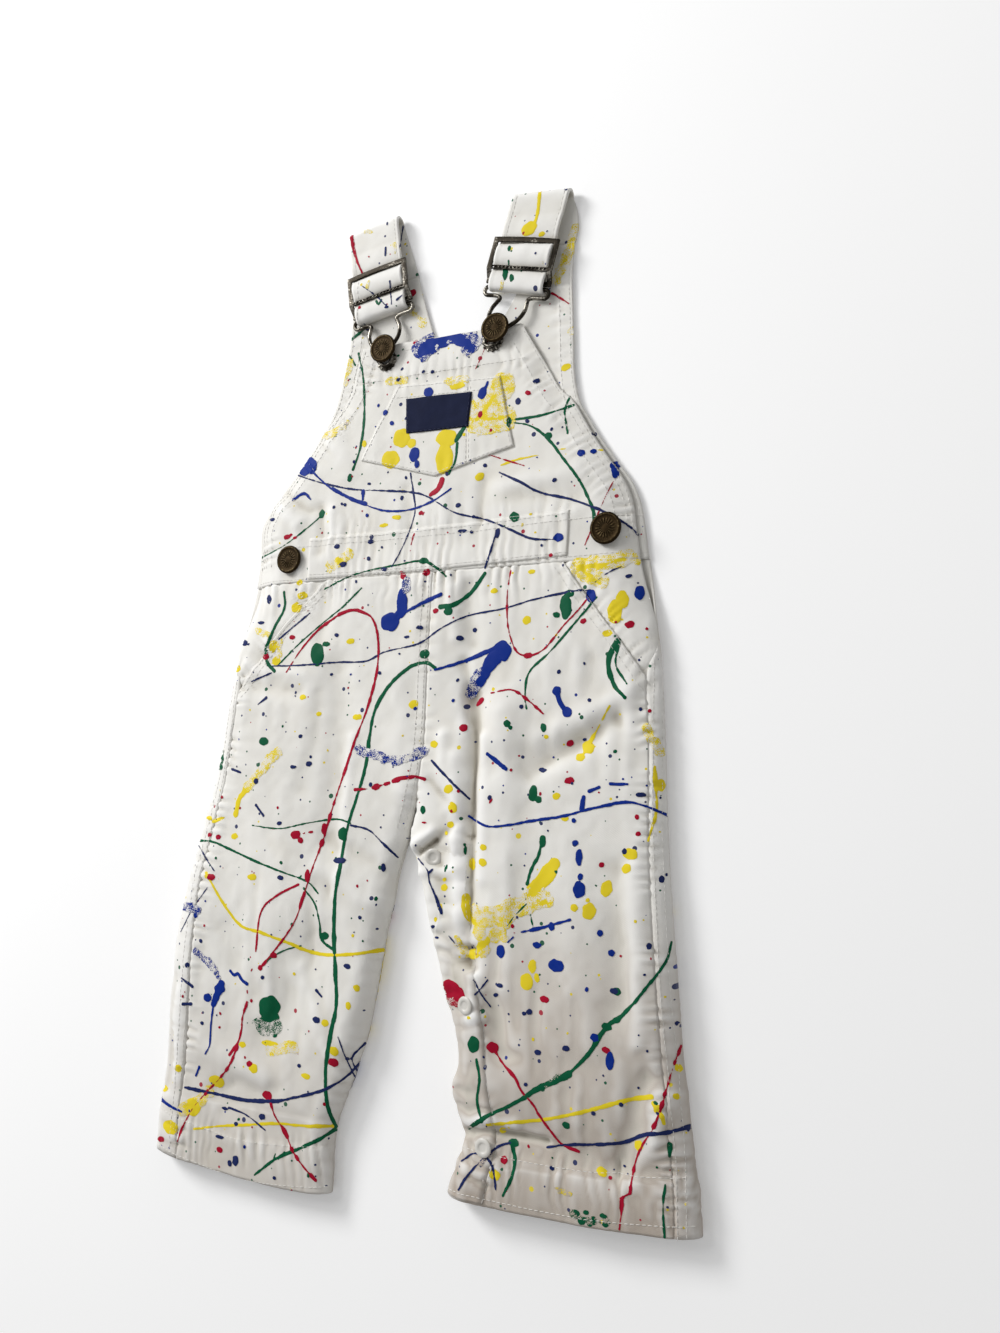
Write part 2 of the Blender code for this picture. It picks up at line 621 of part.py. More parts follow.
for side, word in SIDES.items():
    low, up, across = strap_axes(side)
    outer, inner = [], []
    for middle, direction, half, out in strap_stations(side):
        outer.append([middle + direction.to_3d() * half * end for end in (-1, 1)])
        inner.append([point - out * CLOTH for point in outer[-1]])
    skin(outer, inner, "strap_" + word, WHITE_CLOTH)

    # The slider is a bent plate with two windows: flat from its toothed middle
    # bar to its top bar, and stepped down to the end bar under the strap.
    bars = SLIDER_BARS
    lines = [bars[name][i] for name in ("end", "middle", "top") for i in (0, 1)]
    heights = [bars[name][2] for name in ("end", "end", "middle", "middle", "top", "top")]
    edge = SLIDER_HALF - SLIDER_BAR
    columns = (-SLIDER_HALF, -edge, edge, SLIDER_HALF)
    body = bmesh.new()
    place = Matrix(((across.x, up.x, 0, low.x), (across.y, up.y, 0, low.y), (0, 0, 1, 0), (0, 0, 0, 1)))
    grid = {}
    for i, (line, height) in enumerate(zip(lines, heights)):
        for j, column in enumerate(columns):
            for layer in (0, 1):
                spot = Vector((column, line, height + layer * SLIDER_PLATE))
                grid[i, j, layer] = body.verts.new(place @ spot)
    cells = {(i, j) for i in range(5) for j in range(3) if not (j == 1 and i in (1, 3))}
    for i, j in cells:
        for layer in (0, 1):
            body.faces.new([grid[i + a, j + b, layer] for a, b in ((0, 0), (0, 1), (1, 1), (1, 0))])
        for (di, dj), ends in {(-1, 0): ((0, 0), (0, 1)), (1, 0): ((1, 1), (1, 0)),
                               (0, -1): ((1, 0), (0, 0)), (0, 1): ((0, 1), (1, 1))}.items():
            if (i + di, j + dj) not in cells:
                (a, b), (c, d) = ends
                body.faces.new((grid[i + a, j + b, 0], grid[i + c, j + d, 0],
                                grid[i + c, j + d, 1], grid[i + a, j + b, 1]))
    slider = make_object("slider_" + word, body, AGED_BRASS)
    rounding = slider.modifiers.new("Edges", "BEVEL")
    rounding.width = SLIDER_ROUNDING * MM
    rounding.segments = 1
    rounding.limit_method = "ANGLE"

    # The hook: a wire that runs through the strap's fold, turns back under it,
    # opens into a loop wide enough for the button, and ends in a slot round its shank.
    corner = (HOOK_FOLD_RADIUS - HOOK_SHOULDER) / 2
    half_route = [(0.0, HOOK_FOLD_RADIUS), (HOOK_NECK, HOOK_FOLD_RADIUS)]
    corner_x, corner_s = HOOK_BAR_HALF - corner, HOOK_FOLD_RADIUS - corner
    half_route += [(corner_x + corner * math.sin(a), corner_s + corner * math.cos(a))
                   for a in even(6, 0.0, math.pi)]
    half_route += [(HOOK_NECK + 3.0, HOOK_SHOULDER), (HOOK_NECK, HOOK_SHOULDER - 1.2)]
    half_route += [(HOOK_LOOP_RADIUS * math.sin(a), HOOK_LOOP + HOOK_LOOP_RADIUS * math.cos(a))
                   for a in even(3, math.radians(68), math.radians(134))]
    half_route += [(HOOK_SLOT_RADIUS, HOOK_SLOT_HEAD), (HOOK_SLOT_RADIUS, (HOOK_SLOT_HEAD + HOOK_SLOT) / 2)]
    half_route += [(HOOK_SLOT_RADIUS * math.cos(a), HOOK_SLOT - HOOK_SLOT_RADIUS * math.sin(a))
                   for a in even(3, 0.0, math.pi / 2)]
    route = half_route + [(-x, s) for x, s in reversed(half_route[1:-1])]
    bar_height = 2 * FOLD_RADIUS - HOOK_FOLD_RADIUS
    wire = bpy.data.curves.new("hook_" + word, "CURVE")
    wire.dimensions = "3D"
    wire.bevel_depth = WIRE_RADIUS * MM
    wire.bevel_resolution = 2
    spline = wire.splines.new("POLY")
    spline.points.add(len(route) - 1)
    spline.use_cyclic_u = True
    for point, (x, s) in zip(spline.points, route):
        height = bar_height + (HOOK_SLOT_HEIGHT - bar_height) * smooth_step(0.0, -HOOK_SLOT, -s)
        lean = STRAP[side]["hook_lean"] * min(0.0, s - HOOK_SHOULDER) / (BUTTON_DROP + HOOK_SHOULDER)
        spot = place @ Vector((x + lean, s, height))
        point.co = (*(spot * MM), 1.0)
    add_object("hook_" + word, wire, AGED_BRASS)

    # Bib button: a stamped cap on a shank that stands in the hook's slot.
    centre = low - up * BUTTON_DROP - across * STRAP[side]["hook_lean"]
    seat = bib_height(centre.x, centre.y) + SEAT_GAP
    cap = HOOK_SLOT_HEIGHT + WIRE_RADIUS + SEAM_GAP
    profile = [(r, cap + h) for r, h in CAP_PROFILE] + [(SHANK_RADIUS, seat), (0.0, seat)]
    turned("bib_button_" + word, profile, (centre.x, centre.y, 0.0), Vector((0, 0, 1)), AGED_BRASS)

    # Waist button: the same cap, sewn through the corner of the bib's side.
    x, y = WAIST_BUTTONS[side]
    seat = bib_height(x, y) + SEAT_GAP
    profile = [(r, h + SHANK_HEIGHT) for r, h in CAP_PROFILE] + [(SHANK_RADIUS, 0.0), (0.0, 0.0)]
    turned("waist_button_" + word, profile, (x, y, seat), Vector((0, 0, 1)), AGED_BRASS)

# The part's origin is under the middle of its box, on the surface it lies on.
bpy.context.view_layer.update()
depsgraph = bpy.context.evaluated_depsgraph_get()
corners = []
for thing in collection.objects:
    if thing.type != "EMPTY":
        evaluated = thing.evaluated_get(depsgraph)
        mesh = evaluated.to_mesh()
        corners += [evaluated.matrix_world @ vertex.co for vertex in mesh.vertices]
        evaluated.to_mesh_clear()
low_corner = Vector([min(point[i] for point in corners) for i in range(3)])
high_corner = Vector([max(point[i] for point in corners) for i in range(3)])
middle = (low_corner + high_corner) / 2
origin.location = (-middle.x, -middle.y, -low_corner.z)
print("origin shift in mm:", [round(value / MM, 3) for value in origin.location],
      "size:", [round(value / MM, 2) for value in high_corner - low_corner])
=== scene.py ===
"""Looks of a toddler's paint-spattered bib overalls, laid flat on their back.

Cloth is drawn in millimetres from the foot of the centre front seam: x runs
across, y up the length, z up from the surface that the overalls lie on. Each
finished mesh is then moved to the frame's origin and brought to metres.
"""
import math

import bmesh
import bpy
import numpy as np
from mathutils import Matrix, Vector
from mathutils.bvhtree import BVHTree


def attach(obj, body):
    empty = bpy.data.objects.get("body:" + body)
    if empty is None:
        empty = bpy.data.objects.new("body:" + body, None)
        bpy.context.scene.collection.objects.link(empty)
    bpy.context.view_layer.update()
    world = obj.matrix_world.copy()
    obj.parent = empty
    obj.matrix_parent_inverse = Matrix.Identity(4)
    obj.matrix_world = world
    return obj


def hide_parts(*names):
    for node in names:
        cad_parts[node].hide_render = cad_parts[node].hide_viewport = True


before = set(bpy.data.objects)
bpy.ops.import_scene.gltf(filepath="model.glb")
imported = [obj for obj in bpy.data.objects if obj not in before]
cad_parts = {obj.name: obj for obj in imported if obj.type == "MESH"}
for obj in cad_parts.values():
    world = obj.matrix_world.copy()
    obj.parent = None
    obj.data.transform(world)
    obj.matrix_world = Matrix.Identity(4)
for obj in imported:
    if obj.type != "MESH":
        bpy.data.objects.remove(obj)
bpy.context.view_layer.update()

MM = 0.001
ORIGIN = np.array((12.136, -295.511, 0.0))     # from the cloth's own zero to the frame's origin
LEFT, RIGHT = -1, 1
WORDS = {LEFT: "left", RIGHT: "right"}


# ----------------------------------------------------------------- trousers
# Cotton drill, cut as two front and two back panels. The backs come round the
# sides to the outseams, which lie on top of the legs, and the legs are tubes
# pressed flat. Each section gives the side, the inner leg, the height of the
# upper face and how far in from the side the outseam lies.
SECTION = ("y", "outer", "inner", "top", "seam")
SECTIONS = {
    LEFT: (
        (14.5, 176, 52, 11, 21), (50, 174.5, 50, 14, 21), (80, 172.5, 39.5, 15, 22), (110, 172, 31, 16, 22),
        (150, 168.5, 24, 16, 19), (185, 161.5, 17, 15, 15), (213, 154, 9.65, 13.5, 12.5),
        (240, 147, 2.6, 12.5, 11), (265, 144, 0.5, 12, 10), (295, 139.5, 0.15, 11.5, 8),
        (312, 136.5, 0.15, 11, 0), (354, 129, 0.15, 9.8, 0),
    ),
    RIGHT: (
        (31, 151.5, 22, 12, 11), (50, 150.5, 27, 14, 10), (62, 149, 28, 14.5, 9.5), (82, 146.5, 21, 16, 9),
        (96, 145, 24.5, 16.5, 8), (110, 143, 22.5, 16.5, 8), (130, 141, 15.5, 16.5, 8),
        (165, 138, 4, 16, 8), (190, 136, -3.5, 15, 8), (213, 134.5, -9.35, 13.5, 8),
        (240, 133.5, -2.3, 12.5, 7.5), (265, 132.5, -0.2, 12, 7), (295, 130.5, 0.15, 11.5, 6.5),
        (312, 129, 0.15, 11, 0), (354, 122, 0.15, 9.8, 0),
    ),
}
CENTRE_SEAM = (
    (213, -9.5), (226, -5.6), (240, -2.4), (258, -0.4), (275, 0), (354, 0),
)
SLANT = {
    LEFT: (
        (280, 141), (290, 132), (312, 113), (326, 102), (344, 83), (354, 73),
    ),
    RIGHT: (
        (280, 135), (290, 126), (309, 112), (338, 89.5), (354, 78),
    ),
}
HEM_RISE = {LEFT: (2.5, 5.0), RIGHT: (0.5, 6.0)}
SIDE_HEIGHT = 5.0
FREE_EDGE = 3.5         # height of an edge that hangs free
CROTCH = 213.0
CROTCH_ROLL = 34.0      # how far above the crotch the rolled inseam flattens out
WAIST = 354.0
OPENING_START = 312.0   # foot of the side openings
OPENING_TUCK = 4.0
ROLL_OUT = 20.0
ROLL_IN = 12.0
HEM_REACH = 75.0        # how far up a leg the lift of its hem fades out
SIDE_TURN = 3.0         # turn of a trouser half at its side
CLOTH = 1.05            # thickness of the drill
SEAM = 0.03             # open line between two panels

# Folds of the upper layer: a line from (x0, y0) to (x1, y1), how far the fold
# reaches to each side of it, and its height, negative in a trough: x0, y0, x1,
# y1, reach, height.
FOLDS = (
    (29, 285, 33, 150, 6, -5.5), (47, 275, 51, 140, 11, 3.5), (12, 195, 30, 60, 12, -4),
    (42, 248, 98, 262, 9, -2), (112, 195, 116, 135, 9, -2.2), (55, 66, 120, 60, 10, -2.4),
    (-60, 300, -57, 180, 11, -2.4), (-90, 95, -62, 150, 12, -3), (-104, 240, -98, 170, 22, 2.4),
    (-70, 42, -115, 55, 12, -1.6), (-40, 372, 40, 372, 9, -1),
)
# Smaller creases in the drill, by the same columns.
CREASES = (
    (23, 302, 26, 272, 3.6, -1), (25, 276, 28.5, 246, 4.5, 0.9), (28.5, 240, 31, 205, 4.5, 1.3),
    (31, 199, 32, 160, 4.5, 1.2), (35, 160, 39, 122, 5, 1), (24.5, 270, 26.5, 170, 4.5, 0.9),
    (35.5, 262, 37, 160, 3.5, 0.5), (38, 262, 40, 190, 4, 0.7), (20, 250, 23, 205, 3.5, 1.1),
    (30, 64, 76, 66, 2.2, -1.3), (30, 70, 62, 72, 4, 0.8), (128, 102, 112, 60, 5, -1.3),
    (137, 98, 122, 58, 5, 0.8), (-2, 199.5, 10, 208.5, 1.7, -1.3), (-4, 205, 8, 212, 3.4, 1.5),
    (10, 208.5, 26, 220, 2.6, -0.6), (0, 190, 24, 196, 3, 0.7), (10, 158, 34, 152, 2.6, -0.8),
    (14, 150, 36, 145, 2.4, -0.9), (47, 160, 54, 106, 9, -2.5), (52, 135, 60, 112, 5, 0.8),
    (70, 262, 116, 285, 6, 1), (62, 244, 108, 270, 5, -0.9), (96, 300, 118, 250, 6, -0.8),
    (118, 200, 124, 120, 4.5, 0.9), (86, 190, 96, 120, 9, 0.9), (12, 262, 18, 225, 5, 1.2),
    (6, 240, 22, 222, 3, -0.8), (-20, 300, -12, 235, 9, 0.9), (-48, 262, -50, 175, 4, 0.7),
    (-72, 285, -78, 232, 7, -0.8), (-88, 288, -130, 292, 5, -0.7), (-84, 300, -128, 304, 4, 0.6),
    (-60, 205, -22, 190, 6, -0.9), (-64, 190, -24, 172, 6, 0.8), (-74, 132, -48, 96, 7, 0.9),
    (-60, 118, -40, 90, 5, -0.9), (-166, 118, -168, 58, 4.5, -1.1), (-158, 112, -158, 64, 5, 0.7),
    (-128, 150, -104, 118, 9, -0.9), (-140, 82, -96, 74, 8, 0.8), (-128, 62, -84, 66, 5, -0.7),
    (-92, 336, -112, 318, 4, 0.7), (-70, 345, -74, 318, 5, -0.6), (24, 346, 28, 312, 4.5, -1.1),
    (14, 344, 17, 316, 4, 0.7), (-12, 346, -8, 322, 5, 0.5),
)


def noise(x, y=0.0, seed=0):
    """A smooth random field between -1 and 1, with one swing in each unit."""
    table = np.random.default_rng(seed).uniform(-1.0, 1.0, (64, 64))
    x, y = np.broadcast_arrays(np.asarray(x, float), np.asarray(y, float))
    column, row = np.floor(x).astype(int), np.floor(y).astype(int)
    u, v = x - column, y - row
    u, v = u * u * (3 - 2 * u), v * v * (3 - 2 * v)
    near = table[row % 64, column % 64] * (1 - u) + table[row % 64, (column + 1) % 64] * u
    far = table[(row + 1) % 64, column % 64] * (1 - u) + table[(row + 1) % 64, (column + 1) % 64] * u
    return near * (1 - v) + far * v


def smooth_step(low, high, value):
    """0 below low, 1 above high, and a soft rise between them."""
    share = np.clip((value - low) / (high - low), 0.0, 1.0)
    return share * share * (3.0 - 2.0 * share)


def read(rows, value, column=1):
    """The smooth curve through one column of a table whose first column is y."""
    keys = np.array([row[0] for row in rows])
    data = np.array([row[column] for row in rows])
    slope = np.gradient(data, keys)
    slope[1:-1] = (data[2:] - data[:-2]) / (keys[2:] - keys[:-2])
    value = np.clip(value, keys[0], keys[-1])
    spot = np.clip(np.searchsorted(keys, value, side="right") - 1, 0, len(keys) - 2)
    span = keys[spot + 1] - keys[spot]
    share = (value - keys[spot]) / span
    square, cube = share ** 2, share ** 3
    return ((2 * cube - 3 * square + 1) * data[spot] + (cube - 2 * square + share) * span * slope[spot]
            + (3 * square - 2 * cube) * data[spot + 1] + (cube - square) * span * slope[spot + 1])


def to_segment(x, y, x0, y0, x1, y1, square):
    """Share along a line, whose length squared is told, nearest to (x, y), and the distance from it."""
    share = np.clip(((x - x0) * (x1 - x0) + (y - y0) * (y1 - y0)) / square, 0, 1)
    return share, np.hypot(x - x0 - (x1 - x0) * share, y - y0 - (y1 - y0) * share)


def folds(table, x, y):
    """What the folds of a table add at (x, y)."""
    total = np.zeros(np.broadcast(x, y).shape)
    for x0, y0, x1, y1, reach, height in table:
        _, apart = to_segment(x, y, x0, y0, x1, y1, (x1 - x0) ** 2 + (y1 - y0) ** 2)
        total += height * np.exp(-(apart / reach) ** 2)
    return total


def section(side, y, name):
    """One value of a trouser half's section at y."""
    value = read(SECTIONS[side], y, SECTION.index(name))
    return np.where(y >= CROTCH, side * read(CENTRE_SEAM, y) + SEAM, value) if name == "inner" else value


def ring(side, turn, y, upper):
    """The outer face of a trouser half.

    turn 0 is the inseam or the centre front seam, 1 to 2 crosses the upper
    layer, 3 is the side, 4 to 5 crosses the lower layer and 6 is back at the
    inseam or at the centre back seam. upper says which layer the side belongs to.
    """
    turn, y = np.broadcast_arrays(np.asarray(turn, float), np.asarray(y, float))
    inner, outer = section(side, y, "inner"), section(side, y, "outer")
    loose = smooth_step(OPENING_START, WAIST, y)
    roll = 1.0 - smooth_step(CROTCH, CROTCH + CROTCH_ROLL, y)
    top = section(side, y, "top")
    width = outer - inner
    front_width = width - OPENING_TUCK * loose

    start = np.clip(turn, 0.0, 1.0)
    end = np.clip(3.0 - turn, 0.0, 1.0)
    across_in = ROLL_IN * (roll * (1 - np.cos(start * math.pi / 2)) + (1 - roll) * start)
    across_top = ROLL_IN + (front_width - ROLL_IN - ROLL_OUT) * (turn - 1.0)
    across_out = front_width - ROLL_OUT * ((1 - loose) * (1 - np.cos(end * math.pi / 2)) + loose * end)
    across = np.select([turn < 1.0, turn <= 2.0], [across_in, across_top], across_out)
    rise_in = 1.0 - roll * (1.0 - np.sin(start * math.pi / 2))
    rise = np.select([turn < 1.0, turn <= 2.0], [rise_in, 1.0], np.sin(end * math.pi / 2))
    x = side * (inner + across)
    base = np.where(turn > 1.5, SIDE_HEIGHT - (SIDE_HEIGHT - FREE_EDGE) * loose, SIDE_HEIGHT)
    z = base + (top + folds(FOLDS, x, y) - base) * rise

    curl = np.where(turn < 4.5, 1 - loose, roll)
    part = np.clip(np.where(turn <= 4.5, turn - 3.0, 6.0 - turn), 0.0, 1.0)
    reach = SIDE_HEIGHT * (curl * (1 - np.cos(part * math.pi / 2)) + (1 - curl) * part)
    under = np.select([turn <= 4.0, turn < 5.0],
                      [width - reach, width - SIDE_HEIGHT + (turn - 4.0) * (2 * SIDE_HEIGHT - width)], reach)
    under_z = SIDE_HEIGHT * curl * (1 - np.sin(part * math.pi / 2))
    under_z = np.where((turn > 4.0) & (turn < 5.0), 0.0, under_z)
    below = np.logical_not(upper)
    across = np.where(below, under, across)
    x = np.where(below, side * (inner + under), x)
    z = np.where(below, under_z, z)
    share = np.clip(across / width, 0.0, 1.0)
    inner_rise, outer_rise = HEM_RISE[side]
    hem = SECTIONS[side][0][0]
    lift = inner_rise * (1 - share) ** 4 + outer_rise * share ** 2
    return np.stack([x, y + lift * (1 - smooth_step(hem, hem + HEM_REACH, y)), z], -1)


def turn_at(side, across, y):
    """The turn at which the upper layer is that far from the inner leg."""
    low, high = np.zeros_like(y), np.full_like(y, SIDE_TURN)
    for _ in range(30):
        middle = (low + high) / 2
        short = side * ring(side, middle, y, True)[..., 0] - section(side, y, "inner") < across
        low, high = np.where(short, middle, low), np.where(short, high, middle)
    return low


def seam_turn(side, y):
    """Where the outseam lies."""
    inset = section(side, y, "seam")
    loose = smooth_step(OPENING_START, WAIST, y)
    width = section(side, y, "outer") - section(side, y, "inner") - OPENING_TUCK * loose
    return np.where(inset < 0.05, SIDE_TURN, turn_at(side, width - inset, y))


def slant_turn(side, y):
    """Where the slanted pocket edge lies, or the outseam below it."""
    across = read(SLANT[side], y) - section(side, y, "inner")
    slant = np.where(y < SLANT[side][0][0], SIDE_TURN, turn_at(side, across, y))
    return np.minimum(seam_turn(side, y), slant)


def run_of(points):
    """How far along a row of points each of them lies."""
    return np.concatenate([[0.0], np.cumsum(np.linalg.norm(np.diff(points, axis=0), axis=1))])


def at_steps(points, run, steps):
    """Points at the told places along a row of points."""
    return np.stack([np.interp(steps, run, points[:, i]) for i in range(points.shape[1])], -1)


def evened(face, start, end, y, columns, samples=500):
    """A row of points at even steps along a face, from turn start to turn end, for each y."""
    rows = []
    for height, first, last in zip(y, start, end):
        points = face(np.linspace(first, last, samples), np.full(samples, height))
        run = run_of(points)
        rows.append(at_steps(points, run, np.linspace(0.0, run[-1], columns)))
    return np.array(rows)


def unit(vectors):
    """The directions of a row of vectors."""
    return vectors / np.linalg.norm(vectors, axis=1, keepdims=True)


def shifted(line, shift):
    """A line moved sideways, to its left."""
    along = unit(np.gradient(line, axis=0))
    return line + shift * np.stack([-along[:, 1], along[:, 0]], -1)


def lattice(foot, head, rows, columns):
    """Heights and shares across of a grid of points."""
    return np.meshgrid(np.linspace(foot, head, rows), np.linspace(0.0, 1.0, columns), indexing="ij")


def normals(grid):
    """Unit directions square to a grid of points."""
    cross = np.cross(np.gradient(grid, axis=1), np.gradient(grid, axis=0))
    return cross / np.maximum(np.linalg.norm(cross, axis=-1, keepdims=True), 1e-9)


def near_line(points, x, y):
    """Distance from a line through a few points, positive on its left, and how far along it."""
    best = np.full(np.shape(x), 1e9)
    side_of, along = np.zeros(np.shape(x)), np.zeros(np.shape(x))
    run = 0.0
    for (x0, y0), (x1, y1) in zip(points, points[1:]):
        length = math.hypot(x1 - x0, y1 - y0)
        share, apart = to_segment(x, y, x0, y0, x1, y1, length ** 2)
        cross = (x1 - x0) * (y - y0) - (y1 - y0) * (x - x0)
        closer = apart < best
        side_of = np.where(closer, np.sign(cross), side_of)
        along = np.where(closer, run + share * length, along)
        best = np.minimum(best, apart)
        run += length
    return best * side_of, along


# Puckers that a row of stitching draws into the cloth, square to its line:
# how far they reach on its left and on its right, their pitch and their height.
def puckers(points, x, y, left, right, pitch, height, seed):
    """Uneven small ridges across a stitched line, with narrow troughs between them."""
    apart, along = near_line(points, x, y)
    reach = np.where(apart > 0, left, right)
    count = along / pitch + 0.9 * noise(along / (3.0 * pitch), 0.5, seed)
    count = count + 0.25 * noise(apart / 7.0, along / 16.0, seed + 1)
    strength = 0.45 + 0.75 * noise(count * 0.7, apart / 30.0, seed + 2)
    ridge = np.abs(np.sin(math.pi * count)) ** 0.8 - 0.6
    return 2.0 * height * strength * ridge * np.exp(-(apart / reach) ** 2) * (np.abs(apart) < 2.5 * reach)


def outseam(side):
    """The outseam's line on the upper layer, from the hem up to the side opening."""
    y = np.array((20.0, 60.0, 100.0, 140.0, 180.0, 220.0, 260.0, 300.0))
    spots = ring(side, seam_turn(side, y), y, True)
    return [(spot[0], spot[1]) for spot in spots]


def inseam(side):
    """The inner leg's line."""
    y = np.array((20.0, 60.0, 100.0, 140.0, 180.0, 213.0))
    return [(side * value, height) for value, height in zip(section(side, y, "inner"), y)]


CENTRE_LINE = [(-9.5, 213.0), (-2.4, 240.0), (0.0, 275.0), (0.0, 354.0)]
SLANT_LINES = {side: [(side * across, y) for y, across in SLANT[side][1:]] for side in (LEFT, RIGHT)}
HEM_LINES = {LEFT: [(-178, 44), (-110, 36.5), (-50, 42)], RIGHT: [(20, 56), (90, 57), (154, 64)]}
PLACKET_LINE = [(30, 212), (29, 185), (33, 160), (41, 126), (45, 96), (50, 60), (44, 34)]
WAIST_LINE = [(-126.0, 354.0), (0.0, 353.0), (120.0, 355.0)]
PUCKERS = (
    # line, reach left, reach right, pitch, height, seed
    (outseam(LEFT), 17.0, 8.0, 5.2, 0.95, 10),
    (outseam(RIGHT), 6.0, 13.0, 5.0, 1.00, 20),
    (inseam(LEFT), 5.0, 8.0, 7.0, 0.50, 30),
    (CENTRE_LINE, 6.0, 6.0, 6.0, 0.50, 40),
    (SLANT_LINES[LEFT], 12.0, 9.0, 5.0, 0.75, 50),
    (SLANT_LINES[RIGHT], 6.0, 10.0, 5.4, 0.60, 60),
    (HEM_LINES[LEFT], 6.0, 21.0, 5.8, 0.70, 70),
    (HEM_LINES[RIGHT], 6.0, 21.0, 5.6, 0.75, 80),
    (PLACKET_LINE, 4.0, 19.0, 8.0, 1.25, 90),
    (WAIST_LINE, 4.0, 15.0, 6.2, 0.80, 100),
)


def wandering(table, x, y, sway, spacing, seed):
    """What the folds of a table add, their lines made to sway."""
    swayed = [value + sway * noise(x / spacing, y / spacing, seed + i) for i, value in enumerate((x, y))]
    return folds(table, *swayed)


def trouser_relief(x, y):
    """Creases, puckers and unevenness of the upper layer."""
    total = 1.7 * wandering(CREASES, x, y, 2.0, 16.0, 3)
    for line, *size in PUCKERS:
        total += puckers(line, x, y, *size)
    for line in (outseam(LEFT), outseam(RIGHT), CENTRE_LINE, WAIST_LINE):
        total -= 0.3 * np.exp(-(near_line(line, x, y)[0] / 1.8) ** 2)
    for line in HEM_LINES.values():
        apart, _ = near_line(line, x, y)
        total += 0.45 * (1 - smooth_step(-0.8, 0.8, apart)) * (y < 80.0)
    total += (0.9 * noise(x / 26.0, y / 34.0, 5) + 0.34 * noise(x / 10.0, y / 13.0, 6)
              + 0.16 * noise(x / 4.0, y / 5.0, 2))
    total += 0.6 * noise(x / 5.5, y / 42.0, 7) * smooth_step(-0.2, 0.6, noise(x / 40.0, y / 55.0, 8))
    return total


# Creases of the side that the overalls lie on, by the columns of the folds.
UNDER_CREASES = (
    (-4, 232, -58, 196, 6, 2.4), (-8, 250, -82, 236, 8, 1.8), (6, 236, 62, 204, 6.5, 2.2),
    (8, 262, 96, 262, 9, 1.6), (-140, 282, -66, 300, 7, 1.7), (-128, 322, -40, 330, 8, 1.4),
    (34, 318, 112, 326, 7, 1.5), (20, 290, 78, 284, 6, 1.1), (-160, 178, -84, 160, 7, 2.2),
    (-150, 150, -66, 146, 6, 1.5), (-118, 128, -48, 112, 8, 1.8), (34, 176, 112, 158, 7, 2.2),
    (58, 144, 130, 134, 6, 1.6), (36, 118, 92, 104, 8, 1.7), (-156, 92, -120, 56, 7, 1.6),
    (-98, 74, -60, 60, 6, 1.2), (48, 82, 128, 78, 7, 1.6), (112, 118, 124, 62, 6, 1.2),
)


def under_relief(x, y):
    """Hollows of the underside, none of them below the surface that it lies on."""
    total = wandering(UNDER_CREASES, x, y, 5.0, 24.0, 21) + 0.5 * noise(x / 30.0, y / 36.0, 23)
    total += 0.25 * noise(x / 9.0, y / 12.0, 24)
    for line in (CENTRE_LINE, WAIST_LINE, *HEM_LINES.values()):
        total += puckers(line, x, y, 9.0, 9.0, 6.5, 0.45, 25)
    return np.maximum(total, 0.0)


CREASE_SHADE_REACH = 4.2        # how far round a point the cloth counts for its depth


def sunken(grid):
    """How far each point of a face lies below the cloth around it, which the drill turns into painted shade
    in creases and painted highlight on ridges.
    """
    around = grid[..., 2]
    for axis in (0, 1):
        step = np.linalg.norm(np.diff(grid, axis=axis), axis=-1).mean()
        reach = max(1, int(round(CREASE_SHADE_REACH / step)))
        margin = [(0, 0), (0, 0)]
        margin[axis] = (reach, reach)
        for _ in range(2):
            padded = np.pad(around, margin, mode="reflect", reflect_type="odd")
            total = np.cumsum(padded, axis=axis)
            total = np.concatenate([np.zeros_like(np.take(total, [0], axis)), total], axis)
            length = around.shape[axis]
            ahead = np.take(total, np.arange(length) + 2 * reach + 1, axis)
            around = (ahead - np.take(total, np.arange(length), axis)) / (2 * reach + 1)
    return around - grid[..., 2]


def quads_of(index):
    """The faces between the rows and columns of a grid of points."""
    return np.stack([index[:-1, :-1], index[:-1, 1:], index[1:, 1:], index[1:, :-1]], -1).reshape(-1, 4)


def stand(name, data):
    """A new object in the scene."""
    piece = bpy.data.objects.new(name, data)
    bpy.context.scene.collection.objects.link(piece)
    return piece


def cloth_mesh(name, grid, material, turned_over=False, thickness=CLOTH):
    """A panel: a grid of points for its outer face, closed into a wall of the cloth's thickness."""
    rows, columns = grid.shape[:2]
    points = ((grid + ORIGIN) * MM).reshape(-1, 3)
    quads = quads_of(np.arange(rows * columns).reshape(rows, columns))
    if turned_over:
        quads = quads[:, ::-1]
    mesh = bpy.data.meshes.new(name)
    mesh.from_pydata(points, [], quads.tolist())
    # Kept for the drill's painted shade in creases and painted highlight on ridges.
    mesh.attributes.new("sunken", "FLOAT", "POINT").data.foreach_set("value", sunken(grid).ravel())
    piece = stand(name, mesh)
    wall = piece.modifiers.new("Wall", "SOLIDIFY")
    wall.thickness = thickness * MM
    wall.offset = -1.0
    wall.use_even_offset = False
    mesh.materials.append(material)
    mesh.polygons.foreach_set("use_smooth", [True] * len(mesh.polygons))
    return apply_modifiers(piece)


def apply_modifiers(piece):
    """Turn a piece's modifiers into its mesh."""
    bpy.context.view_layer.update()
    evaluated = piece.evaluated_get(bpy.context.evaluated_depsgraph_get())
    mesh = bpy.data.meshes.new_from_object(evaluated)
    mesh.name = piece.name
    piece.modifiers.clear()
    piece.data = mesh
    return piece
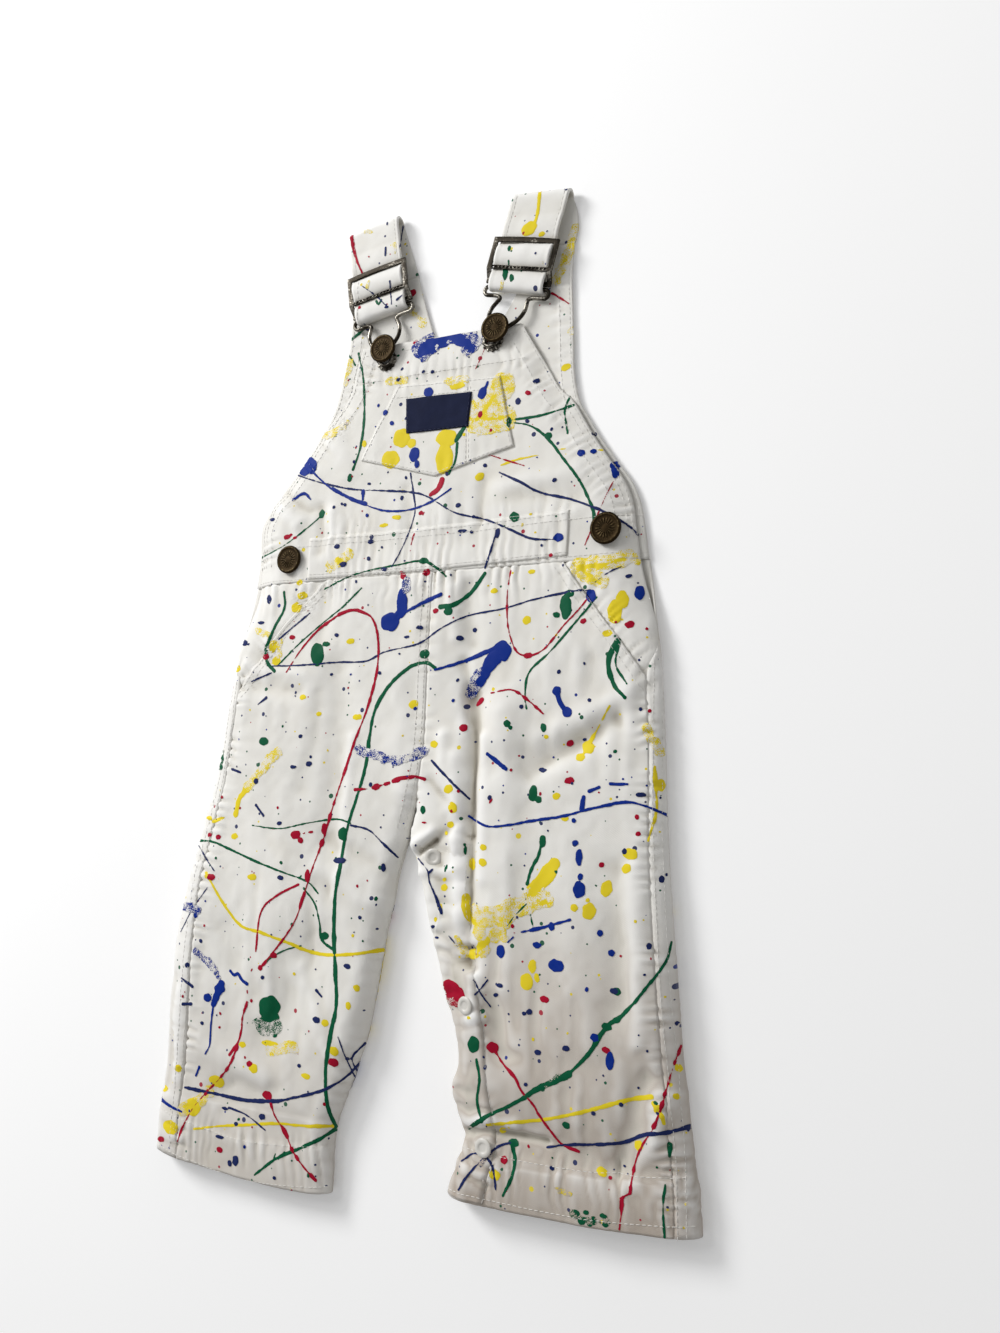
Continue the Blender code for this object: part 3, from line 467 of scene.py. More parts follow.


# ------------------------------------------------------------- white drill
# The shader of all the cloth: off-white cotton drill, uneven in tone, woven in a fine twill, and sprinkled
# with specks of the five paints. Its colour also holds painted shade in creases and towards the feet, and
# painted highlight on ridges.
class Socket:
    """A socket of a material's nodes, for sums."""

    def __init__(self, paint, link):
        self.paint, self.link = paint, link

    def sum(self, operation, first, second):
        return self.paint.node("ShaderNodeMath", {"operation": operation}, [first, second])

    def __add__(self, other):
        return self.sum("ADD", self, other)

    def __radd__(self, other):
        return self.sum("ADD", other, self)

    def __sub__(self, other):
        return self.sum("SUBTRACT", self, other)

    def __rsub__(self, other):
        return self.sum("SUBTRACT", other, self)

    def __mul__(self, other):
        return self.sum("MULTIPLY", self, other)

    def __rmul__(self, other):
        return self.sum("MULTIPLY", other, self)

    def __lt__(self, other):
        return self.sum("LESS_THAN", self, other)

    def __gt__(self, other):
        return self.sum("GREATER_THAN", self, other)


class Finish:
    """A material with its Principled shader, and one way to add nodes to it."""

    def __init__(self, name, roughness, metallic=0.0, sheen=0.0):
        self.material = bpy.data.materials.new(name)
        self.material.use_nodes = True
        self.tree = self.material.node_tree
        self.shader = self.tree.nodes["Principled BSDF"]
        self.shader.inputs["Roughness"].default_value = roughness
        self.shader.inputs["Metallic"].default_value = metallic
        self.shader.inputs["Sheen Weight"].default_value = sheen
        self.shader.inputs["Sheen Roughness"].default_value = 0.6

    def node(self, kind, settings, values, output=0):
        """Add a node: its settings first, then the values or links of its sockets, in order or by name."""
        node = self.tree.nodes.new(kind)
        for key, value in settings.items():
            if key == "stops":
                ramp = node.color_ramp
                while len(ramp.elements) < len(value):
                    ramp.elements.new(1.0)
                for element, (place, colour) in zip(ramp.elements, value):
                    element.position = place
                    element.color = (*colour, 1.0)
            else:
                setattr(node, key, value)
        pairs = values.items() if isinstance(values, dict) else enumerate(values)
        for key, value in pairs:
            socket = node.inputs[key]
            if isinstance(value, Socket):
                self.tree.links.new(value.link, socket)
            elif value is not None:
                socket.default_value = value
        return Socket(self, node.outputs[output])

    def place(self):
        return self.node("ShaderNodeTexCoord", {}, [], "Object")

    def noise(self, scale, detail=2.0, place=None):
        values = {"Vector": place or self.place(), "Scale": scale, "Detail": detail}
        return self.node("ShaderNodeTexNoise", {}, values)

    def mix(self, share, first, second):
        settings = {"data_type": "RGBA", "clamp_factor": True}
        return self.node("ShaderNodeMix", settings, {0: share, 6: first, 7: second}, 2)

    def colour(self, value):
        self.tree.links.new(value.link, self.shader.inputs["Base Color"])

    def rough(self, value):
        self.tree.links.new(value.link, self.shader.inputs["Roughness"])

    def bump(self, height, distance, strength=1.0):
        values = {"Height": height, "Distance": distance, "Strength": strength}
        bumped = self.node("ShaderNodeBump", {}, values)
        self.tree.links.new(bumped.link, self.shader.inputs["Normal"])


PAINTS = {
    "blue": (0.003, 0.025, 0.235),
    "navy": (0.014, 0.024, 0.105),
    "red": (0.37, 0.004, 0.026),
    "yellow": (0.78, 0.62, 0.025),
    "green": (0.002, 0.095, 0.040),
}


def leg_shade(finish, place):
    """How much painted shade darkens the legs, more towards their feet and on the right leg, where the light
    falls off.
    """
    spot = finish.node("ShaderNodeSeparateXYZ", {}, [place])
    up, across = (Socket(finish, spot.link.node.outputs[axis]) for axis in ("Y", "X"))
    rise = up.sum("MINIMUM", up.sum("MAXIMUM", (up + 0.09) * -8.0, 0.0), 0.5)
    right = up.sum("MINIMUM", up.sum("MAXIMUM", (across - 0.015) * 40.0, 0.0), 1.0)
    return (up + 0.155) * -4.0 + rise * right


# Warm brown of the painted shade on the legs.
LEG_SHADE_COLOUR = (0.43, 0.36, 0.295, 1.0)


def drill(name):
    """Off-white cotton drill, with its specks of paint."""
    cloth = Finish(name, 0.88, sheen=0.25)
    place = cloth.place()
    broad = cloth.noise(14.0, 3.0, place)
    colour = cloth.mix(broad, (0.745, 0.725, 0.668, 1.0), (0.865, 0.85, 0.812, 1.0))
    mottled = cloth.noise(105.0, 5.0, place) * 2.0 - 0.95
    colour = cloth.mix(mottled * 0.38, colour, (0.66, 0.635, 0.58, 1.0))
    stain = cloth.noise(30.0, 2.0, place) * 2.2 - 1.25
    colour = cloth.mix(stain * 0.45, colour, (0.74, 0.66, 0.50, 1.0))
    # Painted shade: darker and browner towards the feet and on the right leg, unevenly.
    colour = cloth.mix(leg_shade(cloth, place) + (broad - 0.5) * 0.5, colour, LEG_SHADE_COLOUR)
    # Painted shade and highlight: cream and then dark brown where the drill lies below the cloth around it,
    # in creases and puckers, and paler where it stands above it.
    sunk = cloth.node("ShaderNodeAttribute", {"attribute_name": "sunken"}, [], "Fac")
    colour = cloth.mix(sunk * 0.9, colour, (0.70, 0.665, 0.585, 1.0))
    colour = cloth.mix(sunk * 0.5 - 0.22, colour, (0.26, 0.225, 0.17, 1.0))
    colour = cloth.mix(sunk * -0.8, colour, (0.92, 0.91, 0.885, 1.0))
    shares = {"navy": 0.0, "green": 0.30, "red": 0.58, "yellow": 0.74, "blue": 0.93}
    stops = [(share, PAINTS[hue]) for hue, share in shares.items()]
    for pitch, least, most, share in ((0.0068, 0.04, 0.10, 0.20), (0.0165, 0.035, 0.085, 0.34)):
        spots = {"Vector": place, "Scale": 1.0 / pitch, "Randomness": 1.0}
        apart = cloth.node("ShaderNodeTexVoronoi", {"voronoi_dimensions": "2D"}, spots)
        cell = Socket(cloth, apart.link.node.outputs["Color"])
        parts = cloth.node("ShaderNodeSeparateColor", {}, [cell])
        reach = Socket(cloth, parts.link.node.outputs[1]) * (most - least) + least
        chosen = Socket(cloth, parts.link.node.outputs[0]) < share
        mask = (apart < reach) * chosen
        draw = Socket(cloth, parts.link.node.outputs[2])
        hue = cloth.node("ShaderNodeValToRGB", {"stops": stops}, [draw])
        hue.link.node.color_ramp.interpolation = "CONSTANT"
        colour = cloth.mix(mask, colour, hue)
    cloth.colour(colour)
    slope = (0.0, 0.0, math.radians(58))
    diagonal = cloth.node("ShaderNodeMapping", {}, {"Vector": place, "Rotation": slope})
    twill = cloth.node("ShaderNodeTexWave", {"bands_direction": "X"},
                       {"Vector": diagonal, "Scale": 420.0, "Distortion": 0.6, "Detail": 1.0})
    crumple = cloth.noise(170.0, 3.0, place)
    cloth.bump(twill * 0.18 + crumple * 0.9, 0.00035, 0.55)
    return cloth.material


DRILL = drill("spattered_drill")


def seam_step(side, turn, y, upper):
    """Half the open line of a seam, as a step of turn."""
    step = 0.01
    speed = np.linalg.norm(ring(side, turn, y, upper) - ring(side, turn - step, y, upper), axis=-1) / step
    return SEAM / 2 / np.maximum(speed, 4.0)


def declare(piece, node):
    """Hang a piece on the root body and hide the part that it stands for."""
    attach(piece, "root")
    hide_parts(node)


cloth_pieces = []


def panel(name, grid, node, turned_over=False, thickness=CLOTH):
    """A panel of drill, which stands for a solid and takes paint."""
    piece = cloth_mesh(name, grid, DRILL, turned_over, thickness)
    declare(piece, node)
    cloth_pieces.append(piece)


FINE = 1.3       # spacing of the cloth's points on top
PLAIN = 2.6                             # and underneath
FRONT_SPAN, BACK_SPAN, FACING_SPAN = 125, 190, 56
FACING_FOOT = 288.0
INSEAM_TURN = 0.3                       # where the step of the inseam is measured
for side, word in WORDS.items():
    hem = SECTIONS[side][0][0]
    rows = int((WAIST - hem) / FINE) + 1
    y = np.linspace(hem, WAIST - SEAM, rows)
    inseam_step = seam_step(side, np.full_like(y, INSEAM_TURN), y, True)
    inseam_step = np.where(y < CROTCH, inseam_step, 0.0)

    def upper_face(turn, height, side=side):
        return ring(side, turn, height, True)

    end = slant_turn(side, y)
    grid = evened(upper_face, inseam_step, end - seam_step(side, end, y, True), y, int(FRONT_SPAN / FINE))
    relief = trouser_relief(grid[..., 0], grid[..., 1])
    grid = grid + normals(grid) * side * relief[..., None]
    panel("front_panel_cloth_" + word, grid, "front_panel_" + word,
          side == LEFT)

    # The backs come round the side with the same relief, which gives way to
    # hollows where the cloth lies on the surface.
    rows = int((WAIST - hem) / PLAIN) + 1
    y = np.linspace(hem, WAIST - SEAM, rows)
    start = seam_turn(side, y)
    loose = start > SIDE_TURN - 0.001

    def back_face(turn, height, side=side):
        rolled = seam_turn(side, height[:1])[0] < SIDE_TURN - 0.001
        return ring(side, turn, height, (turn <= SIDE_TURN) & rolled)

    start = start + seam_step(side, np.minimum(start + 0.01, SIDE_TURN), y, np.logical_not(loose))
    grid = evened(back_face, start, np.full_like(y, 6.0 - 0.004), y, int(BACK_SPAN / PLAIN))
    relief = trouser_relief(grid[..., 0], grid[..., 1]) * smooth_step(0.4, 5.5, grid[..., 2])
    hollow = under_relief(grid[..., 0], grid[..., 1]) * smooth_step(3.5, 0.3, grid[..., 2])
    grid = grid + normals(grid) * side * relief[..., None]
    grid[..., 2] += hollow
    panel("back_panel_cloth_" + word, grid, "back_panel_" + word, side == LEFT)

    # The facing lies under the slanted pocket edge and comes level with it
    # towards the side.
    y = np.linspace(FACING_FOOT, WAIST - SEAM, int((WAIST - FACING_FOOT) / FINE))
    start, end = slant_turn(side, y), seam_turn(side, y)
    end = end - seam_step(side, end, y, True)
    grid = evened(upper_face, start - 0.06, end, y, int(FACING_SPAN / FINE))
    apart = -side * near_line(SLANT_LINES[side], grid[..., 0], grid[..., 1])[0]
    sunk = (CLOTH + 0.25) * (1 - smooth_step(-2.0, 9.0, apart))
    relief = trouser_relief(grid[..., 0], grid[..., 1]) - sunk
    grid = grid + normals(grid) * side * relief[..., None]
    panel("pocket_facing_cloth_" + word, grid, "pocket_facing_" + word,
          side == LEFT)


# ---------------------------------------------------------------------- bib
# The bib is one panel of the same drill, turned in along its armholes and its
# top, with a doubled band stitched across its foot.
BIB_TOP = 494.0
BIB_SPAN = 190
BIB_TOP_SLOPE = 0.03
BIB_RISE = (
    (354, 9.8), (380, 9.2), (400, 8.4), (430, 7), (470, 5), (484, 4.3), (496, 3.7),
)
BIB_EDGE = {
    LEFT: (
        (354, 125), (372, 124), (390, 125), (400, 120), (410, 112.5), (423, 101.5), (437, 90), (450, 80),
        (460, 70), (470, 63.5), (482, 60.5), (498, 56),
    ),
    RIGHT: (
        (354, 118), (372, 115.5), (385, 113.5), (396, 109), (408, 101), (420, 93), (432, 86), (443, 79.5),
        (452, 71), (472, 60), (498, 45.5),
    ),
}
BIB_SHOULDER = 20.0
ARMHOLE_HEM = 11.0      # depth of the turned-in cloth along the armholes
TOP_HEM = 472.0
BIB_FOLDS = (
    (-118, 404, -96, 392, 5, 0.9), (-108, 412, -88, 398, 4, -0.8), (-98, 388, -92, 362, 4, 0.6),
    (-80, 398, -78, 372, 4.5, -0.9), (-70, 396, -68, 382, 4, 0.6), (-20, 404, -18, 380, 4, -0.7),
    (4, 402, 6, 382, 3.5, 0.6), (30, 404, 30, 380, 4, -0.7), (42, 400, 84, 402, 6, 0.7),
    (46, 392, 86, 388, 5, -0.6), (-72, 440, -62, 418, 7, 0.6), (60, 462, 78, 428, 6, -0.6),
    (-48, 478, -30, 470, 6, -0.5), (-20, 480, 18, 478, 8, 0.5),
)


def arm_line(side, inset):
    """A line down the bib's armhole, so far in from its edge."""
    y = np.array((366.0, 380.0, 390.0, 400.0, 410.0, 420.0, 430.0, 440.0, 450.0, 460.0, 470.0, 482.0, 493.0))
    edge = np.stack([side * read(BIB_EDGE[side], y), y], -1)
    return [tuple(spot) for spot in shifted(edge, side * inset)]


BIB_PUCKERS = (
    # line, reach left, reach right, pitch, height, seed
    (arm_line(LEFT, ARMHOLE_HEM), 12.0, 6.0, 5.0, 0.65, 110),
    (arm_line(RIGHT, ARMHOLE_HEM), 6.0, 12.0, 5.0, 0.60, 120),
    ([(-58.0, TOP_HEM), (54.0, TOP_HEM - 2.0)], 9.0, 6.0, 6.5, 0.30, 130),
    ([(-88.0, 380.0), (82.0, 381.0)], 12.0, 12.0, 5.6, 0.55, 140),
    ([(-88.0, 356.0), (82.0, 357.0)], 16.0, 5.0, 5.4, 0.60, 150),
    ([(-120.0, 392.0), (-118.0, 360.0)], 5.0, 16.0, 5.6, 0.55, 160),
    ([(108.0, 388.0), (112.0, 360.0)], 16.0, 5.0, 5.6, 0.55, 170),
)


def bib_height(x, y):
    """Height of the bib's plain upper face."""
    inward = np.minimum(x + read(BIB_EDGE[LEFT], y), read(BIB_EDGE[RIGHT], y) - x)
    rise = np.sin(np.clip(inward / BIB_SHOULDER, 0.0, 1.0) * math.pi / 2)
    return FREE_EDGE + (read(BIB_RISE, y) + folds(FOLDS, x, y) - FREE_EDGE) * rise


def bib_relief(x, y):
    """Creases, puckers, turned-in edges and unevenness of the bib."""
    total = 1.6 * wandering(BIB_FOLDS, x, y, 1.5, 14.0, 3)
    for line, *size in BIB_PUCKERS:
        total += puckers(line, x, y, *size)
    for side in (LEFT, RIGHT):
        apart = side * near_line(arm_line(side, ARMHOLE_HEM), x, y)[0]
        total += 0.35 * smooth_step(0.7, -0.7, apart) * (np.abs(x) > 20.0)
    total += 0.35 * smooth_step(TOP_HEM - 0.8, TOP_HEM + 0.8, y + BIB_TOP_SLOPE * x)
    total += (0.6 * noise(x / 22.0, y / 24.0, 7) + 0.28 * noise(x / 9.0, y / 10.0, 8)
              + 0.1 * noise(x / 4.0, y / 5.0, 2))
    return total


def bib_surface(x, y, raised=0.0):
    """Points on the bib, or on what is sewn to it."""
    return np.stack([x, y, bib_height(x, y) + bib_relief(x, y) + raised], -1)


y, share = lattice(WAIST + SEAM, BIB_TOP, int((BIB_TOP - WAIST) / FINE), int(BIB_SPAN / FINE))
left, right = -read(BIB_EDGE[LEFT], y), read(BIB_EDGE[RIGHT], y)
x = left + (right - left) * share
y = y - BIB_TOP_SLOPE * (x + 5.0) * smooth_step(460.0, BIB_TOP, y)
panel("bib_cloth", bib_surface(x, y), "bib")


def patch(top, foot, columns, rows):
    """Plan of a patch between a top edge and a foot edge, each a line through a few points."""
    def on_line(points, share):
        steps = np.linspace(0.0, 1.0, len(points))
        return np.stack([np.interp(share, steps, [point[i] for point in points]) for i in (0, 1)], -1)
    along, share = lattice(0.0, 1.0, rows, columns)
    plan = on_line(foot, share) * (1 - along[..., None]) + on_line(top, share) * along[..., None]
    inward = np.minimum(np.minimum(share, 1 - share) * np.ptp([point[0] for point in foot]),
                        np.minimum(along, 1 - along) * (top[0][1] - foot[0][1]))
    return plan[..., 0], plan[..., 1], inward


# The band across the bib's foot, stitched along both edges.
BAND_TOP = [(-86.0, 380.5), (0.0, 380.0), (81.0, 381.5)]
BAND_FOOT = [(-85.0, 355.5), (0.0, 355.0), (80.0, 357.0)]
BAND_SPAN = 166
x, y, inward = patch(BAND_TOP, BAND_FOOT, int(BAND_SPAN / FINE), 20)
raised = 0.45 + 0.25 * smooth_step(0.0, 1.4, inward)
raised = raised + 0.25 * noise(x / 5.0, y / 40.0, 9) * smooth_step(1.0, 5.0, inward)
panel("waistband_cloth", bib_surface(x, y, raised), "waistband",
      thickness=0.7)

# The pocket: five-sided, with a stitched slot for a pencil on its right.
POCKET_TOP = [(-31.0, 468.0), (36.0, 463.0)]
POCKET_FOOT = [(-52.5, 424.5), (-2.0, 409.5), (46.5, 421.0)]
PENCIL_SLOT = [(18.5, 415.0), (17.0, 463.5)]
POCKET_FINE = 1.1
x, y, inward = patch(POCKET_TOP, POCKET_FOOT, int(95 / POCKET_FINE), int(54 / POCKET_FINE))
apart, _ = near_line(PENCIL_SLOT, x, y)
raised = 0.84 + 0.16 * smooth_step(0.0, 1.2, inward) - 0.35 * np.exp(-(apart / 0.9) ** 2)
raised += puckers(PENCIL_SLOT, x, y, 7.0, 7.0, 7.0, 0.28, 180)
raised += 0.25 * noise(x / 3.6, y / 22.0, 11) * smooth_step(13.0, 3.0, inward)
panel("bib_pocket_cloth", bib_surface(x, y, raised), "bib_pocket",
      thickness=0.8)

# Woven ribbon label, bare, folded under at its ends and stitched round.
LABEL_TOP = [(-24.0, 458.5), (19.5, 456.0)]
LABEL_FOOT = [(-22.0, 437.0), (18.6, 435.5)]
ribbon = Finish("navy_ribbon", 0.8)
ribbon.shader.inputs["Specular IOR Level"].default_value = 0.15
place = ribbon.place()
ribs = ribbon.node("ShaderNodeTexWave", {"bands_direction": "Y"},
                   {"Vector": place, "Scale": 620.0, "Distortion": 0.4})
tone = ribbon.noise(160.0, 2.0, place)
ribbon.colour(ribbon.mix(tone, (0.004, 0.007, 0.028, 1.0), (0.010, 0.015, 0.050, 1.0)))
ribbon.bump(ribs * 0.5 + ribbon.noise(300.0, 2.0, place), 0.00025, 0.6)
x, y, inward = patch(LABEL_TOP, LABEL_FOOT, 40, 20)
raised = 1.60 + 0.30 * smooth_step(0.0, 1.5, inward) + 0.20 * noise(x / 6.0, y / 40.0, 12)
label = cloth_mesh("bib_label_ribbon", bib_surface(x, y, raised), ribbon.material, thickness=0.5)
declare(label, "bib_label")


# ---------------------------------------------------------------- high back
# Two halves of drill, which meet in the centre back seam. They show outside the
# bib's armholes, where they are turned in too, and run up into the straps.
ARM_SEAM = 535.0
YOKE_SIDE = {
    LEFT: (
        (354, 129), (372, 127.5), (392, 127.5), (405, 118.5), (423, 103.5), (437, 92), (453, 81),
        (462, 76.5), (473, 73.5), (490, 70), (505, 68), (535, 67),
    ),
    RIGHT: (
        (354, 122), (375, 119), (386, 116.5), (396, 112), (408, 103.5), (420, 95.5), (432, 88.5),
        (443, 82.5), (460, 79), (480, 78), (500, 77), (515, 76.5), (535, 77.5),
    ),
}
YOKE_INNER = {
    LEFT: (
        (354, 0.15), (463, 0.15), (472, 1.5), (482, 4.5), (494, 9), (512, 15), (535, 22),
    ),
    RIGHT: (
        (354, 0.15), (463, 0.15), (472, 12), (482, 23), (494, 32), (512, 43), (535, 43),
    ),
}
YOKE_TOP = 1.5
YOKE_HEM = 9.0          # depth of the turned-in cloth along the back's armholes
YOKE_FINE = 1.9         # spacing of the back's points


def yoke_line(side, inset):
    """A line down the high back's armhole, so far in from its edge."""
    y = np.linspace(366.0, ARM_SEAM, 22)
    return [(side * (value - inset), height) for value, height in zip(read(YOKE_SIDE[side], y), y)]


def yoke_relief(side, x, y):
    """Puckers and unevenness of the high back, none of it below its plain face."""
    left, right = (8.0, 4.0) if side == LEFT else (4.0, 8.0)
    line = yoke_line(side, YOKE_HEM)
    total = puckers(line, x, y, left, right, 6.0, 0.65, 190 + side)
    apart = side * near_line(line, x, y)[0]
    total += 0.3 * smooth_step(0.6, -0.6, apart) + 0.35 * noise(x / 14.0, y / 16.0, 13 + side)
    return np.maximum(total + 0.2, -0.2)


for side, word in WORDS.items():
    y, share = lattice(WAIST + SEAM, ARM_SEAM, int((ARM_SEAM - WAIST) / YOKE_FINE), 58)
    inner = np.interp(y, [row[0] for row in YOKE_INNER[side]], [row[1] for row in YOKE_INNER[side]])
    x = side * (inner + (read(YOKE_SIDE[side], y) - inner) * share)
    grid = np.stack([x, y, YOKE_TOP + yoke_relief(side, x, y)], -1)
    panel("back_yoke_cloth_" + word, grid, "back_yoke_" + word,
          side == LEFT)


# -------------------------------------------------------------- snap placket
# A facing stitched down inside the right leg, drawn into puckers by its
# stitching, with white moulded snaps.
PLACKET_EDGE = (
    (150, 4), (170, 12.9), (182.6, 6), (189.9, 3.4), (198, -1.4), (206, -3),
)


def placket_share(share, y):
    """Turn across the placket, from its free edge beside the inseam to its stitched edge."""
    spots = sorted((height, place) for place, height in PLACKET_LINE)
    edge = np.interp(y, [spot[0] for spot in spots], [spot[1] for spot in spots])
    inner = section(RIGHT, y, "inner")
    free = np.where(y > PLACKET_EDGE[0][0], read(PLACKET_EDGE, y), -99.0)
    start = np.maximum(0.2, turn_at(RIGHT, np.maximum(free - inner, 0.0), y))
    return start + (turn_at(RIGHT, edge - inner, y) - start) * share


PLACKET_FOOT, PLACKET_HEAD = 32.0, 206.0
y, share = lattice(PLACKET_FOOT, PLACKET_HEAD, 140, 24)
grid = ring(RIGHT, placket_share(share, y), y, True)
relief = trouser_relief(grid[..., 0], grid[..., 1]) + 0.35
relief -= 0.5 * smooth_step(PLACKET_HEAD - 14.0, PLACKET_HEAD, y)
relief += 0.25 * smooth_step(0.0, 0.12, share) * smooth_step(1.0, 0.92, share)
relief += 0.35 * noise(y / 4.6, share * 1.5, 15) * smooth_step(0.0, 0.3, share)
grid = grid + normals(grid) * relief[..., None]
panel("snap_placket_cloth", grid, "snap_placket",
      thickness=0.65)


# ------------------------------------------------------------------- straps
# Doubled drill, stitched along both edges. Each goes on from the high back,
# turns over the shoulder, runs down through the slider and round the hook's bar.
STRAP = {
    LEFT: {"low": (-43.5, 513.0), "shoulder": (-52.2, 573.0), "root": (-44.5, 22.5), "bow": 0.0,
           "twist": 0.0, "hook_lean": 0.0},
    RIGHT: {"low": (44.0, 510.5), "shoulder": (59.0, 567.5), "root": (60.25, 17.25), "bow": 2.5,
            "twist": 7.0, "hook_lean": 5.2},
}
STRAP_HALF = 17.2
FOLD_RADIUS = 3.8
HOOK_FOLD_RADIUS = 2.9
STRAP_RETURN = 13.0
MIDDLE_BAR, TOP_BAR = (11.5, 14.0), (27.5, 30.5)    # the slider's bars, up the strap from its lower fold


def strap_axes(side):
    """A strap's lower fold, its direction up the front, and its direction across."""
    low, shoulder = np.array(STRAP[side]["low"]), np.array(STRAP[side]["shoulder"])
    up = (shoulder - low) / np.linalg.norm(shoulder - low)
    return low, up, np.array((up[1], -up[0]))


def turned_by(vector, degrees):
    """A direction in plan, turned to the left."""
    cos, sin = math.cos(math.radians(degrees)), math.sin(math.radians(degrees))
    return np.array((vector[0] * cos - vector[1] * sin, vector[0] * sin + vector[1] * cos))


def strap_rows(side):
    """Middle, across direction, half width, outward direction and place up the front, along a strap."""
    low, up, across = strap_axes(side)
    fold_across, fold_up = (turned_by(vector, STRAP[side]["twist"]) for vector in (across, up))
    root_x, root_half = STRAP[side]["root"]
    top = 2 * FOLD_RADIUS
    turn_middle = np.array(STRAP[side]["shoulder"]) - fold_up * FOLD_RADIUS
    bend_middle = low + up * HOOK_FOLD_RADIUS
    root = np.array((root_x, ARM_SEAM + 0.2))
    rows = []

    def add(plan, height, direction, half, out, place=-1.0):
        direction = np.array((*direction, 0.0)) / np.linalg.norm(direction)
        rows.append((np.array((*plan, height)), direction, half, np.array(out), place))

    for share in np.linspace(0.0, 1.0, 24):
        bow = STRAP[side]["bow"] * 4 * share * (1 - share)
        plan = root + (turn_middle - root) * share + np.array((bow, 0.0))
        half = root_half + (STRAP_HALF - root_half) * share
        add(plan, 0.15, np.array((1.0, 0.0)) * (1 - share) + fold_across * share, half, (0.0, 0.0, -1.0))
    for angle in np.linspace(0.0, math.pi, 14)[1:-1]:
        out = (*(fold_up * math.sin(angle)), -math.cos(angle))
        middle = turn_middle + fold_up * math.sin(angle) * FOLD_RADIUS
        add(middle, FOLD_RADIUS - math.cos(angle) * FOLD_RADIUS, fold_across, STRAP_HALF, out)
    length = np.linalg.norm(turn_middle - bend_middle)
    for share in np.linspace(0.0, 1.0, 52):
        plan = turn_middle + (bend_middle - turn_middle) * share
        place = HOOK_FOLD_RADIUS + length * (1 - share)
        add(plan, top, fold_across * (1 - share) + across * share, STRAP_HALF, (0.0, 0.0, 1.0), place)
    for angle in np.linspace(0.0, math.pi, 12)[1:-1]:
        out = (*(-up * math.sin(angle)), math.cos(angle))
        middle = bend_middle - up * math.sin(angle) * HOOK_FOLD_RADIUS
        height = top - HOOK_FOLD_RADIUS + math.cos(angle) * HOOK_FOLD_RADIUS
        add(middle, height, across, STRAP_HALF, out, HOOK_FOLD_RADIUS - math.sin(angle) * HOOK_FOLD_RADIUS)
    for share in np.linspace(0.0, 1.0, 9):
        add(bend_middle + up * STRAP_RETURN * share, top - 2 * HOOK_FOLD_RADIUS, across, STRAP_HALF,
            (0.0, 0.0, -1.0))
    return rows


def bulge(place):
    """How far the strap swells between the slider's bars."""
    share = np.clip((place - MIDDLE_BAR[1]) / (TOP_BAR[0] - MIDDLE_BAR[1]), 0.0, 1.0)
    lower = np.clip(place / MIDDLE_BAR[0], 0.0, 1.0)
    upper = np.clip((place - TOP_BAR[1]) / 14.0, 0.0, 1.0)
    return (2.5 * np.sin(math.pi * share) ** 0.6 + 1.3 * np.sin(math.pi * lower) ** 0.8
            + 0.7 * np.sin(math.pi * upper) - 0.25 * (place > MIDDLE_BAR[0]) * (share <= 0.0))


strap_lines = []
for side, word in WORDS.items():
    share = np.linspace(-1.0, 1.0, 27)
    middle, direction, half, out, place = (np.array(column)[:, None] for column in zip(*strap_rows(side)))
    run = run_of(middle[:, 0])[:, None]
    ridge = (0.16 * np.exp(-((np.abs(share) - 0.94) / 0.05) ** 2)
             - 0.18 * np.exp(-((np.abs(share) - 0.86) / 0.05) ** 2))
    ripple = 0.30 * noise(run / 3.6, share * 0.8, 200 + side) * np.abs(share) ** 3
    front = place >= 0.0
    raised = bulge(place) + ridge + ripple + 0.25 * noise(run / 13.0, share * 1.5, 210 + side)
    raised = raised + 0.12 * noise(run / 5.0, share * 3.5, 214 + side)
    raised = raised - 0.6 * np.exp(-((place - sum(TOP_BAR) / 2) / 2.4) ** 2)
    lift = np.where(front, raised, np.maximum(-ridge - ripple, 0.0) * -0.5)
    grid = middle + direction * half[..., None] * share[None, :, None] + out * lift[..., None]
    panel("strap_cloth_" + word, grid, "strap_" + word, True,
          1.25)
    for inset in (-0.87, 0.87):
        spots = grid[:, np.argmin(np.abs(share - inset))]
        strap_lines.append(spots[place[:, 0] > TOP_BAR[1] + 0.5, :2])


# ------------------------------------------------------------------ sliders
# Stamped brass buckles with a worn dark finish: a bent plate with two windows,
# whose middle bar is pierced with a row of teeth that grip the strap.
def aged_brass(name, dark, bright, roughness):
    """Brass under a brown finish, rubbed bright where the "worn" attribute is high."""
    brass = Finish(name, roughness, metallic=1.0)
    place = brass.place()
    worn = brass.node("ShaderNodeAttribute", {"attribute_name": "worn"}, [], "Fac")
    patchy = brass.noise(900.0, 4.0, place)
    share = worn * 0.95 + patchy * 1.5 - 1.08
    deep = brass.mix(brass.noise(350.0, 2.0, place), (*dark, 1.0), (*[1.7 * value for value in dark], 1.0))
    brass.colour(brass.mix(share, deep, (*bright, 1.0)))
    brass.rough(roughness + 0.16 - share * 0.18)
    brass.bump(patchy, 0.00012, 0.5)
    return brass.material


PEWTER = aged_brass("worn_buckle_brass", (0.020, 0.017, 0.013), (0.62, 0.58, 0.50), 0.26)
BRONZE = aged_brass("dark_button_brass", (0.020, 0.013, 0.006), (0.20, 0.150, 0.070), 0.36)


def wear(piece, values):
    """Keep how worn each point of a piece is, for its material."""
    attribute = piece.data.attributes.new("worn", "FLOAT", "POINT")
    attribute.data.foreach_set("value", np.asarray(values, float))


def link(name, mesh, material):
    """A new piece from a mesh in millimetres, moved to the frame's origin."""
    mesh.name = name
    spots = np.empty(len(mesh.vertices) * 3)
    mesh.vertices.foreach_get("co", spots)
    mesh.vertices.foreach_set("co", ((spots.reshape(-1, 3) + ORIGIN) * MM).ravel())
    mesh.materials.clear()
    mesh.materials.append(material)
    mesh.polygons.foreach_set("use_smooth", [True] * len(mesh.polygons))
    return stand(name, mesh)


